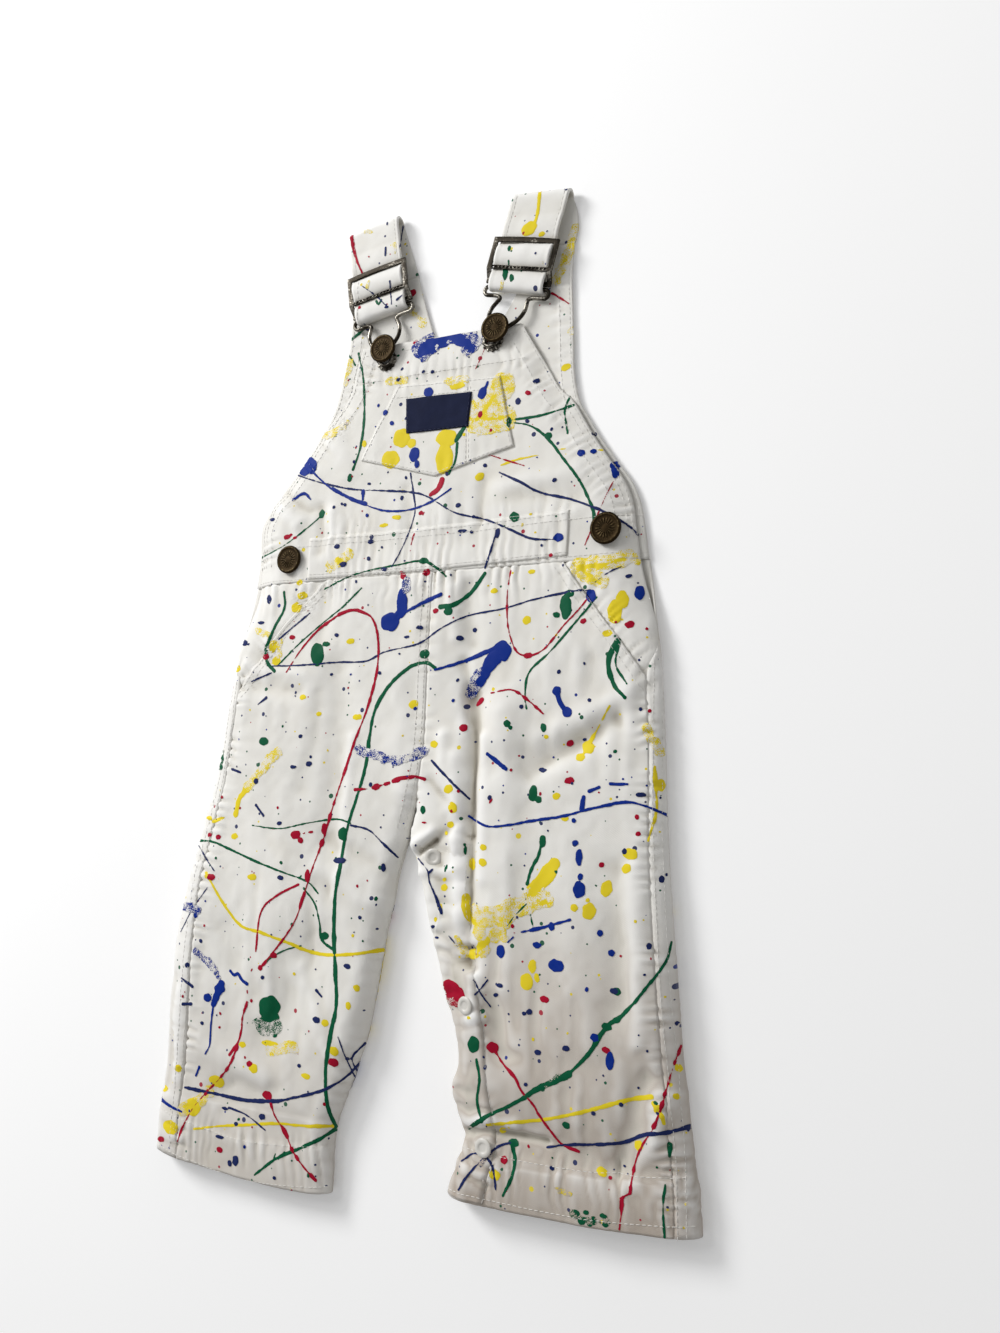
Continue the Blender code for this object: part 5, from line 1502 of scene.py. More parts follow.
# A spot: x, y, its half width and half height, and its turn where it has one.
SPOTS = {
    "blue": (
        (-91, 427, 4.6, 5.2), (-95, 424, 4, 3), (25, 455, 2.8, 3.6), (-18, 425, 3.3, 4.6),
        (-16, 419, 1.7, 2.4), (-10, 461, 3, 3), (-39, 453, 1.8, 1.6), (-44, 458, 1.1, 1.1),
        (-34, 446, 1.5, 1.3), (-29.5, 328, 5.8, 5.6), (-22, 338, 3.6, 8.6), (42, 309, 5.5, 5.3),
        (37.5, 305, 4.6, 4.4), (74, 287, 2.5, 2.4), (80, 276, 2.9, 2.6), (88, 203, 1.9, 4.3),
        (88.5, 187, 3.3, 4.2), (89, 193.5, 1.4, 1.8), (46, 153, 2.4, 3.4), (77, 149, 4, 3.3),
        (66, 158, 2.4, 1.6), (106, 107, 2.2, 4), (98, 117, 2.4, 1.9), (104, 401, 2.2, 4), (104, 404, 3, 2),
        (-159, 156, 1.8, 2.8), (-137, 114, 3.8, 2.4), (-146, 108, 3.2, 2.2), (118, 336, 3, 3.4),
        (92, 336, 3, 3.4), (73, 368.5, 3.2, 2.2), (85, 413, 2.3, 1.9), (92, 413, 1.9, 1.2),
        (74, 168, 1.9, 2.1), (100, 167, 1.6, 1.6), (106, 158, 1.7, 1.5), (86, 210, 1.8, 1.3),
        (85, 221, 1.2, 1.2),
    ),
    "navy": (
        (-41.5, 518.9, 1.5, 0.9), (-43.6, 572.2, 0.6, 1.2), (-31, 472, 1.6, 1.3), (-14, 474, 1.1, 0.9),
        (-8, 473, 1.2, 0.8), (58, 457, 2.1, 1.5), (47, 447, 1.6, 2.2), (12, 392, 1.7, 1.3),
        (-45, 376, 2.2, 1.4), (-35, 359, 2.2, 1.1), (15, 377, 3, 1.2), (21, 376, 1.2, 1.1),
        (-69, 375, 2, 1.4), (-48, 411, 1.4, 1), (70, 400, 1.3, 1.3), (37, 374, 1.6, 2.6),
        (-64, 364, 2.8, 1.6), (-46, 366, 1.3, 1.3), (-10, 324, 2.3, 1.3), (16, 317, 2.8, 1.5),
        (-18, 319, 1.9, 0.9), (25, 321, 1.4, 1.3), (-118, 396, 1.9, 1.2), (-134, 320, 2.4, 1.7),
        (-117, 346, 1.6, 2.8), (-122, 332, 2.6, 1), (112, 345, 2.1, 1.1), (-66, 322, 1.3, 1.1),
        (-68, 299, 1.2, 1), (-88, 263, 1.4, 1.1), (-92, 245, 2.2, 1.2), (-81, 247, 2, 1.6),
        (-80, 251, 1, 1), (-119, 236, 1.6, 1.8), (-100, 212, 1.6, 1.1), (3.2, 191, 1.7, 0.7, 0.8),
        (5.6, 162, 1.3, 0.9), (8.1, 156.5, 1.2, 0.7), (-7, 204, 0.8, 0.9), (67, 246, 2.2, 1.1),
        (37, 231, 1.2, 1.3), (90, 262, 1.2, 1), (92, 282, 1.1, 1), (75, 297, 1.2, 1.2), (54, 279, 1.4, 1.1),
        (120, 235, 2.6, 1.3), (-56, 193, 4, 1.7), (-27, 191, 1.6, 2.3), (-97, 181, 2.5, 1.5),
        (-41, 163, 1.3, 1), (-48, 136, 2.3, 1.5), (-67, 105, 2.4, 1.7), (-77, 79, 1.4, 1),
        (-101, 48, 2.3, 1.6), (-128, 48, 2.4, 0.9), (-130, 32, 3.2, 0.9), (-118, 21, 2.2, 3),
        (-122, 19, 1.6, 1.6), (-90, 17, 1.3, 1), (-119, 41, 1.4, 1), (-163, 125, 2.1, 1.7),
        (-106, 124, 1.3, 1.2), (125, 163, 1.5, 1.5), (63, 125, 1.7, 1.4), (68, 106, 1.9, 1.4),
        (83, 110, 2, 1.5), (98, 82, 1.2, 1), (46, 136, 1.6, 1.1), (44, 131, 1.4, 1), (108, 140, 2.3, 1.5),
        (112, 88, 1.1, 1), (77, 53, 1.2, 1.1), (60, 124, 1.3, 1), (53, 435, 1.2, 1.2), (4, 411, 1.2, 1.2),
        (-106, 367, 1.7, 2.4), (-25, 400, 1.1, 1.2), (28, 413, 1.2, 1.1), (-35, 299, 1.1, 1.1),
        (-38, 236, 1.1, 1.3), (112, 207, 1.4, 1.4), (131, 195, 1.6, 1.7), (62, 90, 1.2, 1),
        (-149, 93, 1.3, 1.1), (-154, 140, 1.3, 1.1),
    ),
    "green": (
        (-3.4, 223.4, 1.6, 2.2), (12.3, 193, 0.9, 2.4, -0.3), (23, 206, 0.9, 0.8), (23.5, 203, 1, 1.9),
        (-62, 416, 1.7, 2.7), (42, 436, 2.2, 4), (-81, 396, 2.2, 3), (-9, 362, 3.2, 1.7),
        (8, 332, 2.8, 2.2), (-79, 311, 4.6, 7), (-73, 317, 2.4, 1.6), (-6, 309, 3.2, 2.6), (-55, 208, 3, 4),
        (78, 331, 3.2, 6.8), (73, 327, 2.2, 1.6), (80, 338, 3, 1.8), (47, 382, 2.9, 2.7), (66, 425, 2.3, 2),
        (62, 234, 2.4, 4.2), (65, 231, 1.8, 1.8), (68, 210, 2, 3), (-100, 108, 7.4, 6.4), (-99, 103, 6, 4),
        (32, 105, 3.2, 4.2), (-115, 260, 3.6, 2.5), (-147, 250, 2.1, 6), (-147, 244, 1.9, 2),
        (37, 524, 1.8, 4), (41, 520, 1.5, 2.2), (39, 538, 1, 2), (109, 140, 2, 2), (104, 123, 2.8, 1.9),
        (90, 35, 1.9, 1.5), (95, 36, 1.5, 1.1), (93, 31.5, 2.2, 1.5), (99, 33, 1.4, 1.8),
        (104, 36, 1.7, 1.2), (105, 33, 1.9, 1.4), (97, 31, 1.5, 1), (46, 270, 2, 2), (67, 268, 1.7, 2),
        (84, 74, 1.9, 1.7), (82, 96, 2.8, 1.6), (48, 268, 1.4, 1.2), (-95, 93, 1.6, 1.2), (-64, 151, 3, 2),
        (56, 61, 3, 2),
    ),
    "red": (
        (14.4, 223.5, 1, 1.3), (18.2, 234, 1.1, 0.9), (37.6, 229.4, 0.7, 1.7, -0.5), (-2, 216.5, 1.5, 0.5),
        (-58, 525.5, 1.4, 0.8), (-61, 522.3, 1, 0.9), (-22, 354, 1.9, 1.9), (-7, 355, 2.6, 2),
        (0, 333, 1.7, 1.4), (20, 268, 2.4, 2.1), (82, 260, 1.9, 1.8), (82, 241, 2.7, 1.8),
        (53, 451, 1.7, 1.4), (-106, 384, 2.6, 1.6), (-100, 383, 1.6, 1), (-149, 178, 3.2, 2),
        (-99, 137, 2.4, 1.7), (-112, 75, 2.4, 1.8), (-54, 84, 3.2, 2.2), (17, 131, 6.4, 4.6),
        (22, 129, 4, 4), (-88, 206, 3.4, 2.5), (-84, 203, 2, 1.6), (-98, 60, 3.2, 2.5), (43, 105, 3.7, 2.7),
        (-24, 524, 2.6, 2.4), (113, 320, 2.8, 1.9), (88, 323, 1.7, 1.4), (-98, 322, 2.2, 1.4),
        (-78, 183, 2, 3.6), (-68, 210, 2, 3.4), (71, 132, 2.4, 1.7), (-152, 203, 1.7, 1.4),
        (-145, 202, 2.2, 1.4), (-130, 25, 2.1, 1.7), (-175, 23, 2.4, 1.7), (100, 200, 1.6, 1.4),
        (-117, 311, 2.4, 2.2), (57, 306, 2.4, 1.5), (51, 52, 1.9, 2.2), (-20, 493, 2, 1.4),
        (24, 443, 2, 2.4), (107, 54, 1.1, 1), (119, 216, 1.4, 1.2), (104, 112, 2.2, 1.5),
        (-12, 390, 1.6, 1.3), (118, 224, 1.2, 1.2), (-108, 129, 1.8, 1.6), (31, 433, 1, 1),
    ),
    "yellow": (
        (11.6, 183, 2.1, 1.8), (11.5, 187, 1.4, 1.2), (9.6, 172.4, 1.3, 1.8), (7, 166, 1, 1.4),
        (11.8, 211.5, 1.1, 1.3), (-27, 436, 6, 5.4), (-20, 432, 3, 2.6), (-34, 424, 6.4, 5),
        (3, 432, 6.6, 5.2), (2, 420, 5.4, 9.6), (8, 462, 3.6, 2.2), (-66, 366, 4.4, 3),
        (-92, 347, 3.6, 2.4), (-96, 340, 4.2, 3), (-95, 355, 2.4, 1.7), (105, 327, 4.2, 6),
        (109, 333, 3.4, 5), (61, 139.5, 3.8, 4), (64, 147.5, 2.1, 3.6), (66.5, 142, 1.6, 2.2),
        (-168, 31, 5.4, 4.2), (-152, 45, 6.4, 5), (-135, 62, 6, 3.2), (-165, 65, 3.2, 2),
        (115, 206, 3.7, 3), (103, 188.5, 3, 4.2, -0.5), (-109, 73, 3.4, 2.5), (-54, 90, 3, 2.6),
        (-61, 104, 2.5, 2), (-46, 115, 2, 2), (-41, 125, 2.2, 2), (15, 225, 2.6, 3.2), (12, 235, 2.8, 2.4),
        (14, 216, 2, 2), (51, 547, 4.6, 4.2), (59, 542, 1.9, 1.6), (75, 462, 3, 2), (25, 407, 2.8, 2.4),
        (-12, 281, 2.9, 2.6), (-49, 274, 3.2, 1.8), (-56, 318, 2.8, 1.8), (34, 205, 2, 1.7),
        (28, 196.3, 1.9, 3.2), (34, 197.3, 2.4, 2), (92, 258, 3.6, 3.2), (88, 253, 2.4, 2),
        (-112, 317, 3, 4), (-109, 308, 3.4, 2.6), (94, 177, 3.8, 4), (86, 178, 2.2, 1.8),
        (113, 199, 2.4, 2.4), (-153, 213, 2.8, 1.4), (-133, 203, 3.2, 1.7), (-118, 180, 3.2, 2),
        (-72, 74, 3, 1.6), (-175, 52, 3, 2), (103, 56, 2.6, 2.4), (50, 66, 2, 1.4), (46, 44, 3, 2.6),
        (56, 325, 2.6, 2.2), (36, 342, 2.4, 1.4), (58, 351, 2, 1.2), (-28, 389, 3, 1.4),
        (-53, 436, 1.8, 2.2), (-138, 304, 2, 2), (2, 259, 2.3, 2.2), (75, 233, 2.2, 1.7),
        (80, 222, 2.4, 1.5), (101, 316, 2.8, 1.8), (-88, 286, 2.4, 1.6), (-76, 276, 2, 1.2),
        (-118, 85, 2.4, 1.8), (130, 89, 2.2, 2), (121, 71, 2, 2.6), (140, 109, 2, 1.8), (139, 96, 1.6, 1.4),
        (9, 462, 5, 2), (-98, 88, 6, 1.8), (-37, 385, 3, 1.2), (130, 240, 2.4, 2.8),
    ),
}
# A scuff: half its width, how much of it took paint, and x and y of each point.
SCUFFS = {
    "blue": (
        (6.4, 0.72, -17, 488, -8, 492, 5, 493.5, 14, 490, 18, 486), (5, 0.55, -14, 484, -8, 488),
        (5, 0.55, 14, 482, 18, 487), (3.6, 0.55, -47, 256, -30, 251, -18, 250, -3, 256),
        (4.6, 0.6, 29, 296, 24, 287), (3.2, 0.5, -20, 346, -19, 352),
        (3.2, 0.55, -157, 134, -150, 130, -145, 127, -139, 121), (3.6, 0.62, -169, 159, -158, 158),
    ),
    "navy": (
        (1.6, 0.35, 38, 48, 44, 54),
    ),
    "green": (
        (5, 0.5, -108, 98, -101, 95, -94, 98), (2.6, 0.42, 88, 34, 97, 33, 106, 34),
        (1.8, 0.5, 70, 88, 80, 97),
    ),
    "red": (
        (3.4, 0.5, 14, 126, 24, 124),
    ),
    "yellow": (
        (1.8, 0.4, -55, 538, -56, 534), (1.7, 0.4, -37.5, 558, -37.2, 552), (2.2, 0.35, -59, 571, -53, 569),
        (1.9, 0.4, 60, 527, 60.5, 522), (1.6, 0.45, 35, 519, 35, 515),
        (4, 0.6, -104, 254, -110, 249, -118, 240, -125, 232), (3.6, 0.62, -37, 472, -27, 471),
        (3.4, 0.62, 2, 466, 14, 465), (9, 0.66, 22, 440, 31, 449, 37, 457), (8, 0.62, 24, 445, 40, 438),
        (4, 0.45, 24, 433, 38, 434), (5, 0.45, 4, 442, 18, 448), (3.4, 0.42, -84, 444, -75, 446, -66, 450),
        (2.6, 0.45, -74, 365, -60, 369), (5.2, 0.62, 84, 352, 98, 353, 113, 355),
        (5, 0.6, 84, 350, 92, 346, 98, 344), (4.4, 0.6, 66, 187, 59, 179, 50, 170, 42, 160),
        (6, 0.56, 60, 178, 45, 172, 32, 168), (4.4, 0.5, 30, 172, 34, 160, 36, 152),
        (5, 0.56, 64, 180, 71, 181), (4, 0.5, 44, 166, 48, 160), (4, 0.42, -98, 85, -80, 89),
        (3, 0.5, -107, 320, -107, 312), (3.2, 0.5, 122, 268, 130, 256), (4, 0.5, 79, 541, 75, 526, 68, 513),
        (3.2, 0.5, -24, 514, -15, 503), (3.2, 0.45, 78, 482, 86, 480), (1.8, 0.4, 79, 44, 87, 43),
        (3.2, 0.5, -116, 323, -124, 327), (4, 0.5, -60, 370, -72, 362),
        (4.6, 0.5, -160, 42, -148, 48, -140, 56), (3.4, 0.4, 20, 156, 26, 150),
        (3.6, 0.4, -66, 488, -69, 476), (3, 0.45, 90, 349, 106, 356, 116, 352),
    ),
}
STEP = 0.55      # spacing of the grid on which the films' edges are found
PLANE = 5.0                             # height at which the marks' places are given
FIELD_FOOT = np.array((-192.0, 4.0))
FIELD_SHAPE = (int(584 / STEP), int(360 / STEP))
FIELD_SPAN = 600.0                      # cloth that the films' UV map covers
EDGE_ROOM = 1.6                         # room round a mark for its uneven edge
TORN = 3.2                              # sides of a film's triangle, in steps, past which it is torn


def smooth_line(points, step):
    """Even steps along a smooth open line through a few points."""
    points = np.array(points, float)
    padded = np.concatenate([[2 * points[0] - points[1]], points, [2 * points[-1] - points[-2]]])
    dense = spline(*(padded[i:len(padded) - 3 + i] for i in range(4)), 12)
    dense = np.concatenate([dense, points[-1:]])
    run = run_of(dense)
    steps = np.linspace(0.0, run[-1], max(2, int(run[-1] / step) + 1))
    return at_steps(dense, run, steps), steps


def pairs(places):
    """Points from a row of numbers."""
    return list(zip(places[::2], places[1::2]))


class Film:
    """How far inside the painted area each point of a grid over the cloth lies, in mm."""

    def __init__(self, seed):
        self.seed = seed
        self.inside = np.full(FIELD_SHAPE, -3.0)
        self.brushed = np.zeros(FIELD_SHAPE)
        row, column = np.indices(FIELD_SHAPE)
        self.x = FIELD_FOOT[0] + column * STEP
        self.y = FIELD_FOOT[1] + row * STEP
        self.rough = (0.22 * noise(self.x / 2.6, self.y / 2.6, seed)
                      + 0.12 * noise(self.x / 1.1, self.y / 1.1, seed + 1))
        self.dry = (0.3 * noise(self.x / 1.4, self.y / 1.2, seed + 2)
                    + 0.6 * noise(self.x / 4.4, self.y / 3.4, seed + 3))

    def window(self, low, high):
        """The part of the grid between two corners."""
        first = np.maximum(((np.array(low) - FIELD_FOOT) / STEP).astype(int), 0)
        last = np.maximum(((np.array(high) - FIELD_FOOT) / STEP).astype(int) + 2, 0)
        return slice(first[1], last[1]), slice(first[0], last[0])

    def segment(self, start, end, half, dry=None):
        """Paint between two points, half as wide as told, or as a dry scuff."""
        reach = half + EDGE_ROOM
        area = self.window(np.minimum(start, end) - reach, np.maximum(start, end) + reach)
        along = end - start
        _, apart = to_segment(self.x[area], self.y[area], *start, *end, max(along @ along, 1e-6))
        value = half - apart
        if dry is not None:
            took = (self.dry[area] + dry * 1.5 - 0.42 + 0.10 * np.minimum(value, 5.0)) * 1.3
            value = np.minimum(value - 1.0 + 1.6 * self.dry[area], took)
        more = value > self.inside[area]
        self.brushed[area] = np.where(more, 0.0 if dry is None else 1.0 - 0.6 * dry, self.brushed[area])
        self.inside[area] = np.maximum(self.inside[area], value)

    def trail(self, manner, first, last, *places):
        """A flicked trail, even, rough, beaded, broken or dotted."""
        line, run = smooth_line(pairs(places), 1.3)
        half = np.linspace(first, last, len(line))
        across, up = abs(places[0]), abs(places[1])
        beat = noise(run / 2.6, 0.5, int(across * 7 + up) + self.seed)
        slow = noise(run / 9.0, 0.5, int(across * 3 + up) + self.seed)
        factor = {"even": 1.0 + 0.32 * slow + 0.18 * beat,
                  "rough": 1.0 + 0.55 * beat * (beat > 0) + 0.3 * slow,
                  "beaded": 0.66 + 1.9 * np.maximum(beat, 0.0) ** 1.5 + 0.15 * slow,
                  "broken": 0.75 + 1.1 * slow + 0.5 * beat,
                  "dotted": 0.42 + 1.9 * beat}[manner]
        for i in range(len(line) - 1):
            width = (0.78 if manner == "rough" else 0.69) * half[i] * factor[i]
            if width > 0.2:
                self.segment(line[i], line[i + 1], width)

    def spot(self, x, y, wide, high, tilt=0.0):
        """A drop of paint."""
        reach = max(wide, high) + EDGE_ROOM
        area = self.window((x - reach, y - reach), (x + reach, y + reach))
        u, v = self.x[area] - x, self.y[area] - y
        u, v = u * math.cos(tilt) + v * math.sin(tilt), v * math.cos(tilt) - u * math.sin(tilt)
        angle = np.arctan2(v, u)
        lobes = 1.0 + 0.06 * np.sin(2 * angle + x) + 0.04 * np.sin(5 * angle + y)
        value = (1.0 - np.hypot(u / wide, v / high) / lobes) * min(wide, high)
        self.brushed[area] = np.where(value > self.inside[area], 0.0, self.brushed[area])
        self.inside[area] = np.maximum(self.inside[area], value)

    def spatter(self, count, biggest):
        """Droplets thrown all over, in loose swarms."""
        chance = np.random.default_rng(self.seed)
        for _ in range(count):
            x, y = chance.uniform((-185.0, 15.0), (150.0, 575.0))
            size = min(0.42 + chance.exponential(0.30), biggest)
            stretch = chance.uniform(0.7, 1.0)
            if noise(x / 42.0, y / 42.0, self.seed + 9) > chance.uniform(-1.0, 0.55):
                self.spot(x, y, size, size * stretch, chance.uniform(0.0, math.pi))

    def outline(self):
        """Points, depths inside the edge, and triangles of the painted area."""
        value = self.inside + self.rough
        rows, columns = value.shape
        flat = value.ravel()
        index = np.arange(rows * columns).reshape(rows, columns)
        a, b, c, d = index[:-1, :-1], index[:-1, 1:], index[1:, 1:], index[1:, :-1]
        corners = np.concatenate([np.stack(three, -1).reshape(-1, 3) for three in ((a, b, c), (a, c, d))])
        within = flat[corners] > 0.0
        count = within.sum(1)
        full = corners[count == 3]
        triangles = [np.stack([full, full], -1)]
        for many, found in ((1, True), (2, False)):
            some = corners[count == many]
            odd = np.argmax(within[count == many] == found, axis=1)
            one, two, three = (some[np.arange(len(some)), (odd + step) % 3] for step in (0, 1, 2))
            ends = ((one, one), (one, two), (two, two), (three, three), (three, one))
            pair = [np.stack(both, -1) for both in ends]
            if found:
                triangles.append(np.stack([pair[0], pair[1], pair[4]], 1))
            else:
                triangles.append(np.stack([pair[1], pair[2], pair[3]], 1))
                triangles.append(np.stack([pair[1], pair[3], pair[4]], 1))
        ends = np.sort(np.concatenate(triangles).reshape(-1, 2), axis=1)
        keys, order = np.unique(ends[:, 0] * flat.size + ends[:, 1], return_inverse=True)
        first, second = keys // flat.size, keys % flat.size
        gap = flat[first] - flat[second]
        share = np.where(first == second, 0.0, flat[first] / np.where(gap == 0.0, 1.0, gap))
        places = np.stack([self.x.ravel(), self.y.ravel()], -1)
        points = places[first] + (places[second] - places[first]) * share[:, None]
        depth = np.where(first == second, flat[first], 0.0)
        return points, depth, self.brushed.ravel()[first], order.reshape(-1, 3)


def one_tree(pieces):
    """All the cloth as one body for rays to strike."""
    spots, faces, start = [], [], 0
    for piece in pieces:
        points = spots_of(piece)
        spots.append(points)
        faces += [[corner + start for corner in face.vertices] for face in piece.data.polygons]
        start += len(points)
    return BVHTree.FromPolygons(np.concatenate(spots).tolist(), faces)


def lay(name, points, depth, brushed, triangles, starts, aims, coat, tint):
    """Lay a film on the cloth along rays, and leave out what misses or hangs over a step."""
    spots = np.full((len(points), 3), np.nan)
    for i, (start, aim) in enumerate(zip(starts.tolist(), aims.tolist())):
        place, square, _, _ = CLOTH_TREE.ray_cast(start, aim)
        if place is not None:
            lift = coat + 0.10 * min(max(depth[i], 0.0), 1.0)
            if square.dot(Vector(aim)) > 0.0:
                square = -square
            spots[i] = place + square * lift
    corners = spots[triangles]
    longest = np.max([np.linalg.norm(corners[:, i] - corners[:, i - 1], axis=1) for i in range(3)], axis=0)
    kept = triangles[longest < TORN * STEP]
    used, order = np.unique(kept, return_inverse=True)
    faces = order.reshape(-1, 3)
    if aims[0][2] > 0.0:
        faces = faces[:, ::-1]
    mesh = bpy.data.meshes.new(name)
    mesh.from_pydata(spots[used], [], faces.tolist())
    layer = mesh.uv_layers.new(name="OFBake")
    corner_points = np.empty(len(mesh.loops), int)
    mesh.loops.foreach_get("vertex_index", corner_points)
    across = (points[used] - FIELD_FOOT) / FIELD_SPAN
    layer.data.foreach_set("uv", across[corner_points].ravel())
    mesh.attributes.new("brushed", "FLOAT", "POINT").data.foreach_set("value", brushed[used])
    film = link(name, mesh, tint)
    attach(film, "root")
    return film


CLOTH_TREE = one_tree(cloth_pieces)
EYE = np.array((275.21, 236.49, 480.36))    # where the marks' places are seen from
OVER = np.array((-26.0, 566.0))             # what a mark's place is taken from for the back
THROWN_FROM = -10.0                         # height from which the back's paint comes
# How many droplets each paint threw, and the biggest, from the lowest film up.
COUNTS = {"yellow": (120, 1.5), "green": (110, 1.2), "red": (150, 1.1), "navy": (230, 1.1),
          "blue": (50, 1.2)}
for level, hue in enumerate(COUNTS):
    film = Film(300 + 20 * level)
    for manner, marks in TRAILS[hue].items():
        for mark in marks:
            film.trail(manner, *mark)
    for mark in SPOTS[hue]:
        film.spot(*mark)
    for half, share, *places in SCUFFS[hue]:
        line, _ = smooth_line(pairs(places), 2.0)
        for start, end in zip(line, line[1:]):
            film.segment(start, end, half, share)
    film.spatter(*COUNTS[hue])
    acrylic = Finish("acrylic_" + hue, 0.5)
    acrylic.shader.inputs["Specular IOR Level"].default_value = 0.08
    thin = acrylic.noise(420.0, 3.0)
    full = PAINTS[hue]
    pale = [value * 0.97 + 0.008 for value in full]
    colour = acrylic.mix(thin * 2.4 - 1.15, (*full, 1.0), (*pale, 1.0))
    # Where a scuff took little paint, the cloth shows through between its threads.
    brushed = acrylic.node("ShaderNodeAttribute", {"attribute_name": "brushed"}, [], "Fac")
    threads = acrylic.noise(2100.0, 2.0) * 0.72 + acrylic.noise(260.0, 3.0) * 0.55
    bare = threads > (0.71 - brushed * 0.10)
    # The bare cloth under a scuff takes the same painted shade towards the feet.
    under = acrylic.mix(leg_shade(acrylic, acrylic.place()), (0.79, 0.77, 0.725, 1.0), LEG_SHADE_COLOUR)
    colour = acrylic.mix(bare * (brushed > 0.05), colour, under)
    acrylic.colour(colour)
    acrylic.rough(thin * 0.25 + 0.42)
    acrylic.bump(thin, 0.00015, 0.4)
    points, depth, brushed, triangles = film.outline()
    aims = np.column_stack([points, np.full(len(points), PLANE)]) - EYE
    aims /= np.linalg.norm(aims, axis=1, keepdims=True)
    coat = 0.09 + 0.03 * level
    starts = np.broadcast_to(EYE, aims.shape)
    lay("paint_front_" + hue, points, depth, brushed, triangles, starts, aims, coat, acrylic.material)
    # The back took the same throws of paint the other way up.
    turned_points = OVER - points
    starts = np.column_stack([turned_points, np.full(len(points), THROWN_FROM)])
    aims = np.broadcast_to((0.0, 0.0, 1.0), starts.shape)
    coat = 0.04 + 0.02 * level
    lay("paint_back_" + hue, turned_points, depth, brushed, triangles, starts, aims, coat, acrylic.material)


# ----------------------------------------------------------------- stitching
# White cotton thread: single or double rows beside every seam and round every
# turned-in edge, a stitch every 2.8 mm, each sunk a little into the drill.
def beside(points, shift):
    """A smooth line through a few points, moved to its left."""
    return shifted(smooth_line(points, 4.0)[0], shift)


def stitch_tree(name):
    """Nodes that lay stitches along lines: evenly spaced short rods, joined in one mesh."""
    tree = bpy.data.node_groups.new(name, "GeometryNodeTree")
    face = tree.interface
    face.new_socket(name="Geometry", in_out="INPUT", socket_type="NodeSocketGeometry")
    sizes = {}
    for entry in ("Pitch", "Stitch Length", "Thread Radius", "Thread"):
        kind = "NodeSocketMaterial" if entry == "Thread" else "NodeSocketFloat"
        sizes[entry] = face.new_socket(name=entry, in_out="INPUT", socket_type=kind).identifier
    face.new_socket(name="Geometry", in_out="OUTPUT", socket_type="NodeSocketGeometry")

    def add(kind, links=(), **settings):
        node = tree.nodes.new(kind)
        for key, value in settings.items():
            setattr(node, key, value)
        for socket, source in links:
            tree.links.new(source, node.inputs[socket])
        return node

    given = add("NodeGroupInput").outputs
    lines = add("GeometryNodeMeshToCurve", [("Mesh", given["Geometry"])])
    stepped = [("Curve", lines.outputs["Curve"]), ("Length", given["Pitch"])]
    even_steps = add("GeometryNodeResampleCurve", stepped, mode="LENGTH")
    rod = add("GeometryNodeMeshUVSphere")
    rod.inputs["Segments"].default_value = 6
    rod.inputs["Rings"].default_value = 4
    half = add("ShaderNodeMath", [(0, given["Stitch Length"])], operation="MULTIPLY")
    half.inputs[1].default_value = 0.5
    thickness = given["Thread Radius"]
    size = add("ShaderNodeCombineXYZ", [("X", thickness), ("Y", thickness), ("Z", half.outputs[0])])
    shaped = add("GeometryNodeTransform", [("Geometry", rod.outputs["Mesh"]), ("Scale", size.outputs[0])])
    tangent = add("GeometryNodeInputTangent")
    facing = add("FunctionNodeAlignRotationToVector", [("Vector", tangent.outputs[0])], axis="Z")
    placed = add("GeometryNodeInstanceOnPoints", [("Points", even_steps.outputs["Curve"]),
                                                  ("Instance", shaped.outputs["Geometry"]),
                                                  ("Rotation", facing.outputs["Rotation"])])
    real = add("GeometryNodeRealizeInstances", [("Geometry", placed.outputs["Instances"])])
    dressed = add("GeometryNodeSetMaterial", [("Geometry", real.outputs[0]), ("Material", given["Thread"])])
    add("NodeGroupOutput", [("Geometry", dressed.outputs[0])])
    return tree, sizes


STITCHES, STITCH_SIZES = stitch_tree("row_of_stitches")
SEWN_TREE = one_tree(cloth_pieces + [label])
STITCH_PITCH, STITCH_LENGTH = 2.8, 2.3
ABOVE, BELOW = 45.0, -12.0      # where the needle starts, over the top or under the underside
STEP_DOWN = 1.1                 # a step in the cloth at which a row ends


def sew(name, lines, from_above=True, material=None, radius=0.20):
    """Sew rows of stitches along lines in plan, on the top or on the underside of the cloth."""
    spots, edges = [], []
    for line in lines:
        last = None
        plan, _ = smooth_line(line, 1.4)
        for x, y in plan.tolist():
            start = (x, y, ABOVE if from_above else BELOW)
            place, _, _, _ = SEWN_TREE.ray_cast(start, (0.0, 0.0, -1.0 if from_above else 1.0))
            if place is None or (last is not None and abs(place.z - spots[last][2]) > STEP_DOWN):
                last = None
            if place is not None:
                outward = 0.08 if from_above else -0.04
                spots.append((place.x, place.y, place.z + outward))
                if last is not None:
                    edges.append((last, len(spots) - 1))
                last = len(spots) - 1
    mesh = bpy.data.meshes.new(name)
    mesh.from_pydata(spots, edges, [])
    piece = link(name, mesh, material)
    rows = piece.modifiers.new("Rows", "NODES")
    rows.node_group = STITCHES
    rows[STITCH_SIZES["Pitch"]] = STITCH_PITCH * MM
    rows[STITCH_SIZES["Stitch Length"]] = STITCH_LENGTH * MM
    rows[STITCH_SIZES["Thread Radius"]] = radius * MM
    rows[STITCH_SIZES["Thread"]] = material
    apply_modifiers(piece)
    piece.data.polygons.foreach_set("use_smooth", [True] * len(piece.data.polygons))
    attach(piece, "root")


